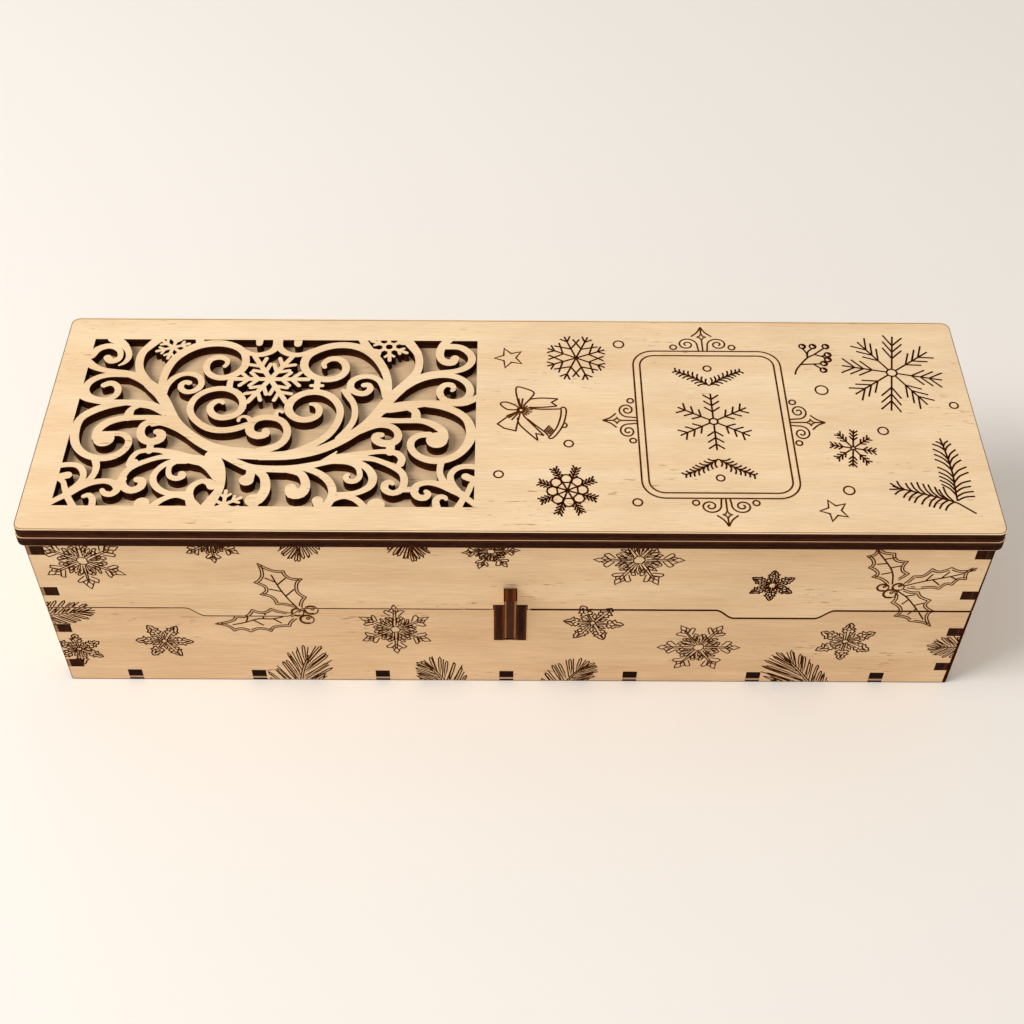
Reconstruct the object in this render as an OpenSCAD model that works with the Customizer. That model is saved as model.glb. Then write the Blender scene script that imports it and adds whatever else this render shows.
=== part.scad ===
// Hinged gift box for one bottle of wine, cut from birch plywood.
// The origin is on the ground at the middle of the walls, the front looks along -Y and +Z is up.

/* [Box] */
// Width over the outside of the walls
body_w = 347; // [320:1:380]
// Depth over the outside of the walls
body_d = 109; // [100:1:130]
// Height of the walls, from the ground to the underside of the lid boards
body_h = 84; // [78:1:100]
// Thickness of the plywood of the walls and the floor
wall_t = 6.5; // [5:0.5:8]
// Height of the seam between the base and the lid
seam_z = 46; // [44:0.5:50]
// Gap that the saw beam leaves at the seam
seam_gap = 0.4; // [0.3:0.1:0.6]

/* [Lid boards] */
// Thickness of each of the two lid boards
board_t = 4; // [3:0.5:5]
// How far the solid lower board stands out past the walls
board_out = 2; // [1:0.5:4]
// How far the pierced upper board is set back from the lower one
panel_inset = 0.3; // [0.3:0.1:1]
// Corner radius of the lid boards
board_r = 3.2; // [2:0.2:8]

/* [Seam] */
// Depth of the two shallow dips in the front seam
dip_depth = 4.8; // [2:0.2:6]
// Distance from the middle of the box to the middle of each dip
dip_x = 99.5; // [80:0.5:110]
// Length of a dip, measured between the middles of its two slopes
dip_w = 37.5; // [25:0.5:50]
// Length of one slope of a dip
dip_slope = 7; // [4:0.5:10]

/* [Joints in the wood] */
// Height of the fingers that join the walls at the corners
finger_h = 5; // [4:0.5:6]
// Heights of the middles of the corner fingers in the base
base_fingers = [10.8, 33.2];
// Heights of the middles of the corner fingers in the lid
lid_fingers = [55.6, 79];
// Width of the tabs of the floor
tab_w = 5.6; // [4:0.2:8]
// Distance between two floor tabs along the front and back
tab_pitch = 48.8; // [40:0.2:52]
// How far the row of floor tabs along the front and back is shifted to the right
tab_shift = -1.3; // [-3:0.1:3]
// Distance between the two floor tabs at each side
side_tab_pitch = 48; // [30:1:60]

/* [Latch] */
// Thickness of the small plates of the latch and the hinges
plate_t = 4; // [3:0.5:4.5]
// Side play between the lever or a hinge leaf and the plates beside it
plate_gap = 0.2; // [0.1:0.05:0.3]
// Height of the lower end of the latch
latch_foot_z = 27.3; // [24:0.1:30]
// Height of the top of the two latch cheeks
latch_cheek_top_z = 48.3; // [47:0.1:50]
// Height of the top of the latch
latch_top_z = 59; // [56:0.5:62]
// How far the head of the latch stands out from the front
latch_reach = 5.5; // [4:0.5:8]
// Radius of the latch pin
latch_pin_r = 1.25; // [1:0.05:1.5]
// Width of the cap on the head of the latch lever
cap_w = 5; // [4:0.1:6]
// Thickness of the cap
cap_t = 1.2; // [0.8:0.1:2]
// How far the cap stands out past the front edge of the lever
cap_lip = 0.4; // [0:0.1:0.8]

/* [Hinges] */
// Distance from the middle of the box to each hinge
hinge_x = 115; // [90:1:140]
// Distance of the hinge pins behind the back wall
hinge_out = 5.5; // [5.3:0.1:7]
// Radius of the round ends of the hinge plates
hinge_r = 5; // [4:0.1:5]
// Radius of the hinge pins
hinge_pin_r = 1.5; // [1:0.1:2]
// Height of the lid leaf above the seam
leaf_h = 17; // [12:1:22]
// How far the lid opens, in degrees, before the heel of the leaf meets the back wall
lid_open = 105; // [95:1:110]

/* [Fretwork window] */
// Left edge of the window
window_left = -164; // [-165:0.5:-160]
// Right edge of the window
window_right = -13.3; // [-15:0.1:-12]
// Front edge of the window
window_front = -44.4; // [-46:0.1:-43]
// Back edge of the window
window_back = 43.7; // [42:0.1:45]
// Steps between two given points of a scroll
scroll_steps = 3; // [2:1:5]

/* [Hidden] */
$fn = 48;
front_y = -body_d / 2;
back_y = body_d / 2;
base_top = seam_z - seam_gap / 2;
lid_bottom = seam_z + seam_gap / 2;
board_w = body_w + 2 * board_out;
board_d = body_d + 2 * board_out;
cut = 1;
press_gap = 0.02;
run_gap = 0.08;
free_gap = 0.3;
cheek_x = plate_t / 2 + plate_gap;
latch_half = cheek_x + plate_t;
latch_pivot_y = front_y + 2;
latch_pivot_z = latch_foot_z + 3.5;
latch_foot_r = 3.3;
latch_stand = 0.4;
lever_back_drop = 3;
lever_top_z = latch_top_z - cap_t;
tongue_top_z = 55;
tongue_depth = 4.2;
hinge_y = back_y + hinge_out;
hinge_z = seam_z;
hinge_foot_z = latch_foot_z;
heel_r = 6.9;
heel_turn = asin((hinge_out - free_gap) / heel_r);
inner_r = hinge_r - 0.03;
neck_angle = 28;
heel_angles = [-107, -74];
leaf_angle = 6;
lip = 0.8;
tab_count = 7;
birch = "#e3bd8c";
birch_board = "#edcb98";
charred = "#4a2b1a";
dowel = "#c69a66";

// Scrolls of the left half of the window.
// Each is a list of [x, y, half width] points along the middle of the wood.
left_scrolls = [
  [[-157, 44, 2.2], [-153, 41, 1.9], [-150.3, 37.5, 1.3], [-149.2, 33.5, 1.2], [-150.2, 30.3, 0.9],
   [-152.2, 28.6, 0.4]],
  [[-164, 34, 1.8], [-161.8, 38, 1.6], [-157.5, 39.7, 1.5], [-153.9, 37.8, 1.3], [-152.6, 34.5, 1.1],
   [-153.3, 31.8, 1.3], [-155.8, 31, 1.5], [-157.4, 32.9, 1.6]],
  [[-165, 30.5, 2], [-162, 28, 1.6], [-158, 26, 1.3], [-153, 24.9, 1.4], [-147.5, 23.7, 1.7],
   [-142, 20.8, 1.9], [-136.5, 16, 2.2], [-132.5, 10.5, 2.2], [-129, 4, 2], [-126, -1.5, 1.9],
   [-121.5, -6.8, 1.9], [-116, -11.8, 2.1], [-110, -15.6, 2.4], [-103, -17.8, 2.7], [-96, -18.5, 2.8],
   [-91, -19.6, 2]],
  [[-138.5, 45, 2.2], [-141.5, 40.5, 1.8], [-144, 36.5, 1.6], [-144.7, 32, 1.6], [-144, 27, 1.6],
   [-142, 22.5, 1.8], [-138.5, 17.5, 2], [-134, 12.5, 2]],
  [[-133.5, 14, 1.7], [-133.9, 20, 1.5], [-133.3, 26, 1.6], [-131.3, 32, 1.7], [-127.5, 37, 1.9],
   [-122, 40.5, 1.9], [-115, 41.6, 1.8], [-108.8, 40, 1.6], [-104.8, 36.5, 1.5], [-103.4, 32, 1.5],
   [-103.6, 28, 1.5], [-105.8, 24.6, 1.5], [-109.5, 22.2, 1.5], [-113.5, 22.1, 1.4],
   [-117, 24.5, 1.3], [-118.3, 28.5, 1.3], [-117, 32.2, 1.3], [-113.8, 33.5, 1.3],
   [-111, 32.3, 1.1], [-110.4, 30, 0.9], [-111.2, 28.4, 0.9]],
  [[-125.5, 38.5, 1.6], [-122.5, 41, 1.7], [-123.5, 45, 1.5]],
  [[-132.4, 12, 1.1], [-132, 17, 1.2], [-130.2, 21.2, 1.3], [-127, 23.7, 1.2], [-123.5, 24, 1.2],
   [-120.2, 22.3, 1.2],
   [-118.9, 19, 1.2], [-119.5, 16.3, 1.3], [-121.5, 14.4, 1.2], [-124, 14, 1.2],
   [-126.2, 15.6, 1.2], [-126.5, 18, 1.2], [-125.1, 19.4, 1.1], [-123.7, 19, 1.2]],
  [[-99, -3.6, 1.4], [-103, -5.6, 1.5], [-108, -6.5, 1.5], [-113, -5.5, 1.5], [-117.5, -2.2, 1.4],
   [-120.3, 1.5, 1.3], [-121.4, 6, 1.3], [-120, 11, 1.3], [-116, 14.7, 1.3], [-110.5, 16, 1.3],
   [-105.5, 14.3, 1.4], [-102.3, 10.3, 1.4], [-101.7, 5.5, 1.4], [-103.6, 2, 1.4],
   [-107, 0.4, 1.5], [-110.5, 0.6, 1.5], [-113.2, 3, 1.4], [-113.8, 6.3, 1.3],
   [-112, 8.8, 1.2], [-110, 8.9, 1], [-109.3, 8, 0.8]],
  [[-102.3, -1.4, 0.7], [-102.2, 0, 0.7], [-100.6, 0.9, 0.7], [-98.8, 0.2, 0.9], [-97.8, -1.5, 1]],
  [[-107.4, 23, 1.2], [-108, 19, 1.2], [-107.8, 15.5, 1.2]],
  [[-148, 23.2, 1.3], [-154, 23.3, 1.3], [-158.8, 21.9, 1.4], [-162, 18.8, 1.5], [-162.7, 15, 1.5],
   [-161, 11.5, 1.5], [-157.3, 9.7, 1.4], [-153.5, 9.6, 1.3], [-150.8, 11.6, 1.3],
   [-150.1, 14.6, 1.3], [-151.3, 17.4, 1.3], [-153.8, 18.6, 1.4], [-156, 17.4, 1.3]],
  [[-165, 13, 1.5], [-161.5, 10.3, 1.5], [-157.5, 8.9, 1.4], [-152.5, 8.1, 1.5], [-146, 8.1, 1.5],
   [-140.5, 7.4, 1.9], [-135.5, 6.2, 1.9], [-130.5, 3, 1.9]],
  [[-139.5, 7, 1], [-142.6, 5.2, 1.2], [-143.8, 3, 1.6], [-143.8, 0, 1.8]],
  [[-146, 7.6, 1.1], [-152, 6.4, 1.6], [-158, 3.2, 1.7], [-161.7, -1, 1.6], [-162.4, -7, 1.7],
   [-161.3, -13, 1.6],
   [-158.5, -17.5, 1.5], [-154.5, -20.2, 1.5], [-150, -21.2, 1.5], [-145.5, -20, 1.5],
   [-142.3, -16.5, 1.4], [-141.5, -12.5, 1.3], [-143.2, -9.5, 1.3], [-146.3, -8.4, 1.2],
   [-150, -8.9, 1.6]],
  [[-127, -1, 1.7], [-134, 0, 1.3], [-140, 0, 1.3], [-146, -0.5, 1.5], [-151, -2.6, 1.7],
   [-153.9, -6.5, 1.7], [-153.8, -10.5, 1.8]],
  [[-134, -3.6, 1.1], [-131.6, -2.8, 1.3], [-128.5, -3.3, 1.6], [-124.5, -5.9, 1.2], [-121, -9.3, 0.6]],
  [[-134, -1.5, 1.6], [-137.3, -3.8, 1.5], [-138, -7.5, 1.5], [-136.6, -11, 1.7],
   [-133.4, -12.6, 1.8], [-130.3, -11.2, 1.9], [-130.2, -8.3, 1.7], [-131.9, -7.4, 1.4]],
  [[-133.2, -13, 1.3], [-133.2, -17.5, 1.3]],
  [[-139.6, -24.3, 1.1], [-139, -21, 1.1], [-137.2, -18, 1.1], [-133.5, -17, 1.1], [-129, -17.1, 1.2],
   [-124, -18.9, 2], [-118, -21.1, 2.2], [-112, -22.6, 2], [-109, -19.5, 2]],
  [[-122, -20.3, 1.3], [-127, -20.2, 1.2], [-131, -21.3, 1.1], [-136.5, -24.2, 1.2],
   [-139.7, -27.3, 1.3], [-140.8, -31.5, 1.4], [-139.5, -35.3, 1.5], [-136.5, -37, 1.6],
   [-133.5, -35.3, 1.6], [-133.4, -32.3, 1.5], [-135.2, -31.7, 1.4]],
  [[-158.5, -38.5, 1.5], [-154.5, -35, 1.4], [-150.5, -33, 1.3], [-146, -32.5, 1.3],
   [-142.5, -34.3, 1.5], [-141.8, -37, 1.4], [-143.5, -38.9, 1.3], [-145.8, -38.5, 1.2],
   [-147, -36.9, 0.9]],
  [[-142.5, -34.5, 1.5], [-140.5, -31.5, 1.5]],
  [[-149.3, -45.5, 1.3], [-149.6, -41.5, 1.2], [-151.3, -39.3, 1.1], [-153, -40, 0.9]],
  [[-166, -44.5, 1.2], [-162.5, -41.5, 1.2], [-159, -38.8, 1.4], [-156.5, -36, 1.4]],
  [[-159.5, -39, 1.3], [-157.7, -42, 1.2], [-155.3, -46, 1.4]],
  [[-159.3, -38.5, 1.3], [-160.6, -36, 1.1], [-161.7, -33, 1], [-164, -31, 1.2]],
  [[-166, -25.2, 1.3], [-161.5, -24.4, 1.2], [-158, -24.9, 1.2], [-155.7, -27.5, 1.2],
   [-155, -31, 1.2], [-156.3, -34.5, 1.3], [-158.5, -37.5, 1.4]],
  [[-166, -31, 1.3], [-162.7, -30.2, 1.6], [-160.8, -29.7, 1.7]],
  [[-152.5, -21, 1.4], [-151.2, -25, 1.3], [-151.2, -28.5, 1.2], [-152.5, -32, 1.3], [-155, -35, 1.4]],
  [[-118.5, -20.8, 1.8], [-113.5, -22, 2.4], [-109.6, -25.2, 2.4], [-106.8, -30.5, 1.6]],
  [[-139.4, -24.5, 1.2], [-137.6, -22.8, 1.3]],
  [[-119, -21.8, 1.9], [-124.3, -22.8, 1.3], [-127.8, -25.6, 1.2], [-129.6, -29.5, 1.2],
   [-129, -33.5, 1.3], [-126.3, -36.7, 1.3], [-122.5, -38.5, 1.2], [-117.5, -38.6, 1.2]],
  [[-122, -22, 1.4], [-124.3, -24.5, 1], [-124.6, -27.5, 1], [-123.7, -30, 1.1], [-121.3, -31.1, 1.2],
   [-119.3, -30, 1.4], [-119.6, -28.8, 1.4]],
  [[-110, -19.5, 2.5], [-107.2, -24.5, 2.5], [-105.5, -30, 2], [-105, -35.5, 1.6], [-106.2, -39.5, 1.8],
   [-108.5, -45, 2.4]],
  [[-113.5, -45, 2], [-115.5, -39, 1.5], [-114.9, -34.8, 1.3], [-112, -32.4, 1.1],
   [-109.3, -32.8, 1.6], [-107.8, -34.5, 2]],
  [[-128.5, -45.5, 1.6], [-125, -41.5, 1.2], [-120, -39.3, 1.1], [-114.7, -41.5, 1.2],
   [-111.5, -45.5, 1.6]]
];

// Scrolls of the right half of the window.
right_scrolls = [
  [[-23.5, 46, 1.8], [-26.6, 41.5, 1.7], [-27.9, 37.5, 1.6], [-27.6, 33.8, 1.6], [-25.7, 31.5, 1.8],
   [-23, 31.3, 1.8], [-22, 33.6, 1.7]],
  [[-27, 40.3, 1.6], [-21, 40.2, 1.5], [-17.7, 38.2, 1.5], [-15.6, 35, 1.5], [-15.6, 31.3, 1.5],
   [-18, 28, 1.4], [-22, 26.2, 1.3], [-27, 25.3, 1.4], [-32, 24.2, 1.5], [-36, 22, 1.7]],
  [[-42.5, 46, 2.2], [-39, 40.5, 1.9], [-36.6, 36, 1.6], [-35.8, 31, 1.5], [-36.3, 26.5, 1.6],
   [-38, 22.5, 1.9], [-41, 18, 2.1], [-44.3, 13.5, 2.2], [-47.5, 8.5, 2.3], [-50.3, 3, 2.2],
   [-54, -2.6, 2], [-58.5, -7.5, 1.9], [-63.5, -11.8, 2], [-69.5, -15.7, 2], [-76, -18, 2.2],
   [-83, -19.3, 2.2], [-92, -19.7, 2]],
  [[-42.5, 15.5, 1.6], [-37.5, 20.2, 1.6], [-32, 23, 1.5], [-26, 24, 1.4], [-20.5, 22.7, 1.4],
   [-16.8, 19.2, 1.4], [-15.7, 15, 1.5], [-17, 11.2, 1.5], [-20.5, 9.4, 1.4], [-24.8, 10, 1.4],
   [-27, 12.8, 1.4], [-27.2, 16, 1.4], [-25.5, 18.5, 1.3], [-23, 18.5, 1.3], [-22, 16.6, 1],
   [-22.6, 15.5, 0.8]],
  [[-12, 12.5, 1.5], [-17, 8.9, 1.4], [-21.5, 8.5, 1.6], [-27, 8.6, 1.4], [-33, 8.3, 1.7],
   [-40, 7, 2.5], [-46, 5.6, 2.4]],
  [[-51, 1.6, 1.6], [-48.4, 4.2, 1.6], [-45, 5.8, 1.8]],
  [[-39, 6, 1.4], [-36.2, 4, 1.6], [-35.8, 0, 1.8]],
  [[-32.5, 7.9, 1.4], [-26.6, 6.9, 1.6], [-20.7, 4, 1.6], [-16.8, 0, 1.6], [-15.2, -5, 1.8],
   [-15.2, -10, 1.9],
   [-17, -14.8, 1.7], [-20.3, -18.9, 1.6], [-24.6, -21.2, 1.6], [-29.5, -21.4, 1.6],
   [-34.2, -19.2, 1.5], [-37, -15.2, 1.4], [-36.9, -11.2, 1.4], [-34.2, -8.6, 1.4],
   [-30.5, -8.2, 1.5]],
  [[-51, -0.5, 1.5], [-44, -1, 1.3], [-38, -0.9, 1.3], [-33, -1.1, 1.4], [-28.5, -3.4, 1.6],
   [-25.5, -6.5, 1.7], [-25.2, -10, 1.9]],
  [[-57, -7.2, 1.2], [-53.6, -4.8, 1.5], [-49.6, -3.1, 1.6], [-45.3, -3.9, 1.4], [-42.6, -6.5, 1.4],
   [-42.1, -10, 1.5], [-44, -12.5, 1.7],
   [-47.5, -12.8, 1.8], [-50.2, -11, 1.7], [-50.2, -8.8, 1.5], [-48.4, -8.5, 1.3]],
  [[-44.6, -13, 1.6], [-44.6, -17.5, 1.6]],
  [[-64, -20.5, 2], [-57, -19, 1.8], [-52, -17.6, 1.2], [-46.5, -17, 1.2], [-42, -18, 1.4],
   [-40.1, -20.7, 1.4], [-40.6, -23.5, 1.4]],
  [[-58, -20, 1.6], [-51, -20.8, 1.2], [-46.5, -22.7, 1.2], [-42.5, -25, 1.4], [-39.6, -28, 1.3],
   [-38.7, -32, 1.4], [-39.6, -36, 1.4], [-42.5, -37.7, 1.3], [-45.3, -36.2, 1.4],
   [-45.6, -33.4, 1.4], [-43.8, -32.3, 1.2], [-42.8, -33.2, 0.8]],
  [[-39, -36, 1.3], [-34.5, -35.8, 1.3]],
  [[-17.5, -38.3, 1.5], [-21.5, -35.8, 1.6], [-25.5, -33.5, 1.5], [-30, -32.5, 1.2],
   [-33.8, -33.7, 1.3], [-35, -36.6, 1.4], [-33.6, -39.4, 1.4], [-31, -39.9, 1.4],
   [-29.8, -38, 1.2], [-30.7, -36.8, 0.9]],
  [[-26.3, -45.5, 1.5], [-27, -41.5, 1.3], [-25.6, -39.4, 1.2], [-23.8, -39.7, 1], [-23.3, -40.6, 0.7]],
  [[-17.8, -38.5, 1.4], [-15, -41, 1.2], [-11, -45, 1.2]],
  [[-16.8, -39.5, 1.3], [-17.9, -42, 1.2], [-19.5, -46, 1.6]],
  [[-16.5, -39.5, 1.2], [-15.3, -36.5, 1.1], [-14.4, -33.5, 1.1], [-12.5, -31, 1.3]],
  [[-12, -24.8, 1.3], [-16.5, -24.3, 1.2], [-20, -25.5, 1.2], [-22, -28.5, 1.2], [-21.7, -32, 1.3],
   [-20, -35.5, 1.3], [-17.8, -38.5, 1.4]],
  [[-11, -31.5, 1.4], [-14.7, -30.4, 1.5], [-16.5, -29.4, 1.6]],
  [[-25.5, -21.5, 1.3], [-26, -25.5, 1.2], [-25.8, -28.5, 1.2], [-24.7, -31.5, 1.4], [-22.5, -35, 1.6]],
  [[-47.3, 12, 1.7], [-47.3, 19, 1.5], [-48.6, 25, 1.6], [-50.9, 30.5, 1.7], [-54, 35.2, 1.8],
   [-58.5, 39, 1.8], [-64, 40.8, 1.7], [-70, 40.5, 1.7], [-75.5, 38.2, 1.7], [-79.5, 34.5, 1.7],
   [-80.5, 29.5, 1.6], [-78.8, 25.2, 1.6], [-75.3, 22.3, 1.5], [-70.8, 21.2, 1.5],
   [-66.5, 22.6, 1.5], [-64.2, 26, 1.5], [-64.6, 30, 1.5], [-67.3, 32.8, 1.4],
   [-70.8, 32.7, 1.4], [-72.9, 30.2, 1.1], [-72.4, 28.2, 0.9]],
  [[-59.5, 46, 1.6], [-57, 40.5, 1.7], [-53, 34, 1.8]],
  [[-47.9, 12, 1.4], [-48.9, 17, 1.4], [-50.9, 21, 1.3], [-54.5, 23, 1.2], [-58.5, 22.6, 1.3],
   [-61.4, 20, 1.4],
   [-61.4, 16.3, 1.4], [-58.8, 13.9, 1.4], [-55.8, 13.7, 1.4], [-54, 16, 1.3],
   [-54.7, 18.3, 1.2], [-56.5, 18.2, 1.2]],
  [[-64.3, 15.2, 0.9], [-62, 12, 1.3], [-59.8, 8, 1.2], [-58.9, 3, 1.2], [-59.4, -1.5, 1.2],
   [-61.3, -6, 1.3], [-64, -10.5, 1.5]],
  [[-62, 16, 1.2], [-62.5, 12.5, 1.2]],
  [[-84, -18.4, 1.1], [-77.5, -16.2, 1.4], [-70.5, -11.3, 1.5], [-66.8, -6.3, 1.5],
   [-64.8, -0.5, 1.4], [-64.7, 5, 1.4],
   [-67, 10, 1.5], [-71, 13.4, 1.5], [-75.5, 14.3, 1.5], [-80, 13, 1.5], [-83.3, 9.7, 1.6],
   [-84.3, 5.5, 1.6], [-82.8, 1.8, 1.6], [-79.5, -0.5, 1.5], [-75.8, -0.4, 1.5],
   [-72.9, 1.7, 1.3], [-72.6, 5, 1.3], [-74.2, 7.3, 1.1], [-76, 7.7, 0.8]],
  [[-74.5, 22, 1.2], [-74.5, 14, 1.2]],
  [[-76.7, 17.8, 0.8], [-72.5, 17.8, 0.8]],
  [[-60, -20.7, 1.6], [-55.5, -23, 1.4], [-52, -26, 1.5], [-50.2, -30, 1.6], [-50.8, -34, 1.5],
   [-53.8, -36.8, 1.3], [-58, -38.3, 1.2], [-63.5, -38.4, 1]],
  [[-65.5, -22, 1.3], [-60.5, -22.2, 1.4], [-57.4, -23.6, 1.2], [-55.6, -25.9, 1], [-55, -29.5, 1.1],
   [-56.5, -31.8, 1.2], [-58.9, -31.8, 1.2],
   [-60, -30, 1.1], [-59.4, -28.8, 0.9]],
  [[-67, -46, 1.6], [-64.5, -41.3, 1.4], [-60, -39.3, 1.3], [-55.5, -41, 1.3], [-52, -45, 1.3]]
];

// Scrolls of the middle of the window, below and above the large snowflake.
middle_scrolls = [
  [[-104.8, 37, 1.4], [-101, 35.3, 1.1], [-97.5, 35.2, 1.3], [-94, 37, 1.4], [-92.3, 40, 1.6],
   [-92, 46, 2.2]],
  [[-99.3, 46, 1.6], [-99.2, 41.5, 1.3]],
  [[-92, 46, 2], [-91.2, 40, 1.4], [-89.2, 37, 1.4], [-85.8, 35.2, 1.3], [-82, 35.3, 1.2],
   [-78.5, 37, 1.4]],
  [[-84, 46, 1.8], [-84, 41.3, 1.5]],
  [[-93, -17.2, 1.8], [-86.7, -14.6, 1.6], [-83.8, -10.5, 1.5], [-83.7, -5.5, 1.4], [-86.5, -1, 1.4],
   [-91.5, 0.5, 1.4], [-95.8, -0.6, 1.5], [-97.7, -4, 1.6], [-97, -7.6, 1.7], [-94.2, -9.2, 1.8],
   [-91.5, -8.3, 1.7], [-91.6, -6.5, 1.4]],
  [[-88, -0.5, 0.9], [-88.6, 2.6, 0.8], [-87.6, 4, 0.7], [-86.3, 3.3, 0.7]],
  [[-108, -18, 1.5], [-104, -20.6, 1.3], [-100, -23, 1.5], [-95, -25.5, 1.7], [-88, -26.1, 1.6],
   [-80, -26, 1.8], [-73, -24.2, 1.5], [-68, -22.6, 1.4], [-63.5, -21, 2], [-57, -20.2, 2]],
  [[-70, -23.4, 1.2], [-66.9, -20.7, 1.2], [-64.3, -17.2, 0.3]],
  [[-95, -25.5, 1.6], [-94.7, -29, 1.7], [-95.8, -31.7, 2.7]],
  [[-93, -26.5, 1.5], [-89.9, -29.5, 1.6], [-88.7, -33.5, 1.8], [-88.8, -37.5, 1.9],
   [-90.5, -41, 2.2], [-92.3, -41.5, 3]],
  [[-92, -42, 2.4], [-91.8, -46, 1]],
  [[-82, -26.3, 1.5], [-77, -28, 1.5], [-74.9, -31, 1.6], [-74.2, -34.8, 1.8], [-75.6, -37.9, 2.3],
   [-78.3, -37.9, 2.7], [-79.4, -35.5, 2.1]],
  [[-76, -25.5, 1.3], [-71.5, -27.2, 1.4], [-67.5, -30.2, 1.5], [-65, -34, 1.5], [-64.2, -38.2, 1.5],
   [-65, -42, 1.6], [-67, -46, 1.6]],
  [[-68, -46, 1.4], [-69.3, -41.5, 2]]
];

// Round blobs of the scrolls, as [x, y, radius].
blobs = [[-151, -11.2, 3.9], [-27.6, -11, 4], [-131.8, -43.3, 2.8], [-48.3, -43.6, 3.2]];

// Point on a smooth curve that runs from b to c, with the points a and d before and after them.
function curve_point(a, b, c, d, t) =
  0.5 * (2 * b + (c - a) * t + (2 * a - 5 * b + 4 * c - d) * t * t
    + (3 * b - a - 3 * c + d) * t * t * t);

// Points of a smooth curve through all the points of p.
function curve(p, steps) = [
  for (i = [0 : len(p) - 2]) for (k = [0 : steps - 1])
    curve_point(p[max(i - 1, 0)], p[i], p[i + 1], p[min(i + 2, len(p) - 1)], k / steps),
  p[len(p) - 1]
];

// Sideways direction of the curve q at its point i.
function sideways(q, i) =
  let (d = q[min(i + 1, len(q) - 1)] - q[max(i - 1, 0)], l = norm([d.x, d.y]))
  [-d.y, d.x] / l;

// Edge point of the scroll q at its point i, on side 1 or -1.
function edge(q, i, side) = [q[i].x, q[i].y] + side * q[i].z * sideways(q, i);

// Smooth step from 0 to 1.
function ease(t) = t * t * (3 - 2 * t);

// One half of the seam, from the middle outwards on side 1 or -1, at a level and lowered over the dip.
function seam_line(side, level) = [
  for (s = [-1, 1]) for (k = [0 : 8])
    let (u = k / 8, x = dip_x + s * dip_w / 2 + (u - 0.5) * dip_slope)
    [side * x, level - dip_depth * (s < 0 ? ease(u) : 1 - ease(u))]
];

// The points of p in reverse order.
function reversed(p) = [for (i = [len(p) - 1 : -1 : 0]) p[i]];

// The whole seam from left to right.
function whole_seam(level) = concat(reversed(seam_line(-1, level)), seam_line(1, level));

// One scroll of the fretwork, with round ends.
module scroll(p) {
  q = curve(p, scroll_steps);
  for (i = [0 : len(q) - 2])
    polygon([edge(q, i, 1), edge(q, i + 1, 1), edge(q, i + 1, -1), edge(q, i, -1)]);
  for (end = [p[0], p[len(p) - 1]])
    translate([end.x, end.y])
      circle(r = end.z, $fn = 16);
}

// Straight bar from a to b with round ends.
module bar(a, b, r) {
  d = b - a;
  n = [-d.y, d.x] / norm(d) * r;
  polygon([a + n, b + n, b - n, a - n]);
  translate(b)
    circle(r = r, $fn = 12);
}

// Snowflake with six branched arms: length, half width of an arm, places and length of its branches.
module snowflake(length, half, places, branch, turn = 0) {
  for (a = [0 : 60 : 300])
    rotate(a + turn) {
      bar([0, 0], [length, 0], half);
      for (r = places) for (s = [-48, 48])
        bar([r, 0], [r + branch * cos(s), branch * sin(s)], half * 0.8);
    }
}

// All the wood inside the fretwork window.
module fretwork() {
  for (p = left_scrolls)
    scroll(p);
  for (p = right_scrolls)
    scroll(p);
  for (p = middle_scrolls)
    scroll(p);
  for (b = blobs)
    translate([b.x, b.y])
      circle(r = b.z, $fn = 32);
  translate([-92.8, 21.3])
    snowflake(14.6, 1, [4.4, 8.2], 4.8);
  translate([-132.8, 39])
    snowflake(6.4, 0.7, [3.2], 2.5, 20);
  translate([-102.5, -43.6])
    snowflake(6.6, 0.7, [3.4], 2.4, 30);
  ring_snowflake();
}

// Small snowflake at the upper right of the window, with a round hole in its middle.
module ring_snowflake() {
  translate([-48, 40])
    difference() {
      union() {
        circle(r = 2.7, $fn = 32);
        snowflake(7.8, 0.75, [4.1], 2.3, 34);
      }
      circle(r = 1.4, $fn = 32);
    }
}

// Flat board with round corners, standing on height z.
module board(w, d, t, r, z) {
  translate([0, 0, z])
    linear_extrude(height = t) {
      square([w - 2 * r, d], center = true);
      square([w, d - 2 * r], center = true);
      for (x = [-1, 1]) for (y = [-1, 1])
        translate([x * (w / 2 - r), y * (d / 2 - r)])
          circle(r = r);
    }
}

// Stands a drawing of x and z up as a wall that starts at depth y.
module upright(y, t) {
  translate([0, y + t, 0])
    rotate([90, 0, 0])
      linear_extrude(height = t)
        children();
}

// Stands a drawing of y and z up as a plate centred on x.
module sideways_plate(x, t) {
  translate([x - t / 2, 0, 0])
    rotate([90, 0, 90])
      linear_extrude(height = t)
        children();
}

// Notches for the corner fingers in both ends of a wall drawing.
module finger_notches(heights) {
  for (z = heights) for (x = [-1, 1])
    translate([x * body_w / 2, z])
      square([2 * wall_t, finger_h], center = true);
}

// Notches for the floor tabs along the lower edge of a wall drawing.
module floor_notches(count, pitch, shift) {
  for (i = [0 : count - 1])
    translate([(i - (count - 1) / 2) * pitch + shift - tab_w / 2, -cut])
      square([tab_w, wall_t + cut]);
}

// Drawing of the lower front wall with its wavy top edge.
module base_front_outline() {
  polygon(concat(
    [[-body_w / 2, 0], [-body_w / 2, base_top]],
    whole_seam(base_top),
    [[body_w / 2, base_top], [body_w / 2, 0]]
  ));
}

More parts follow.
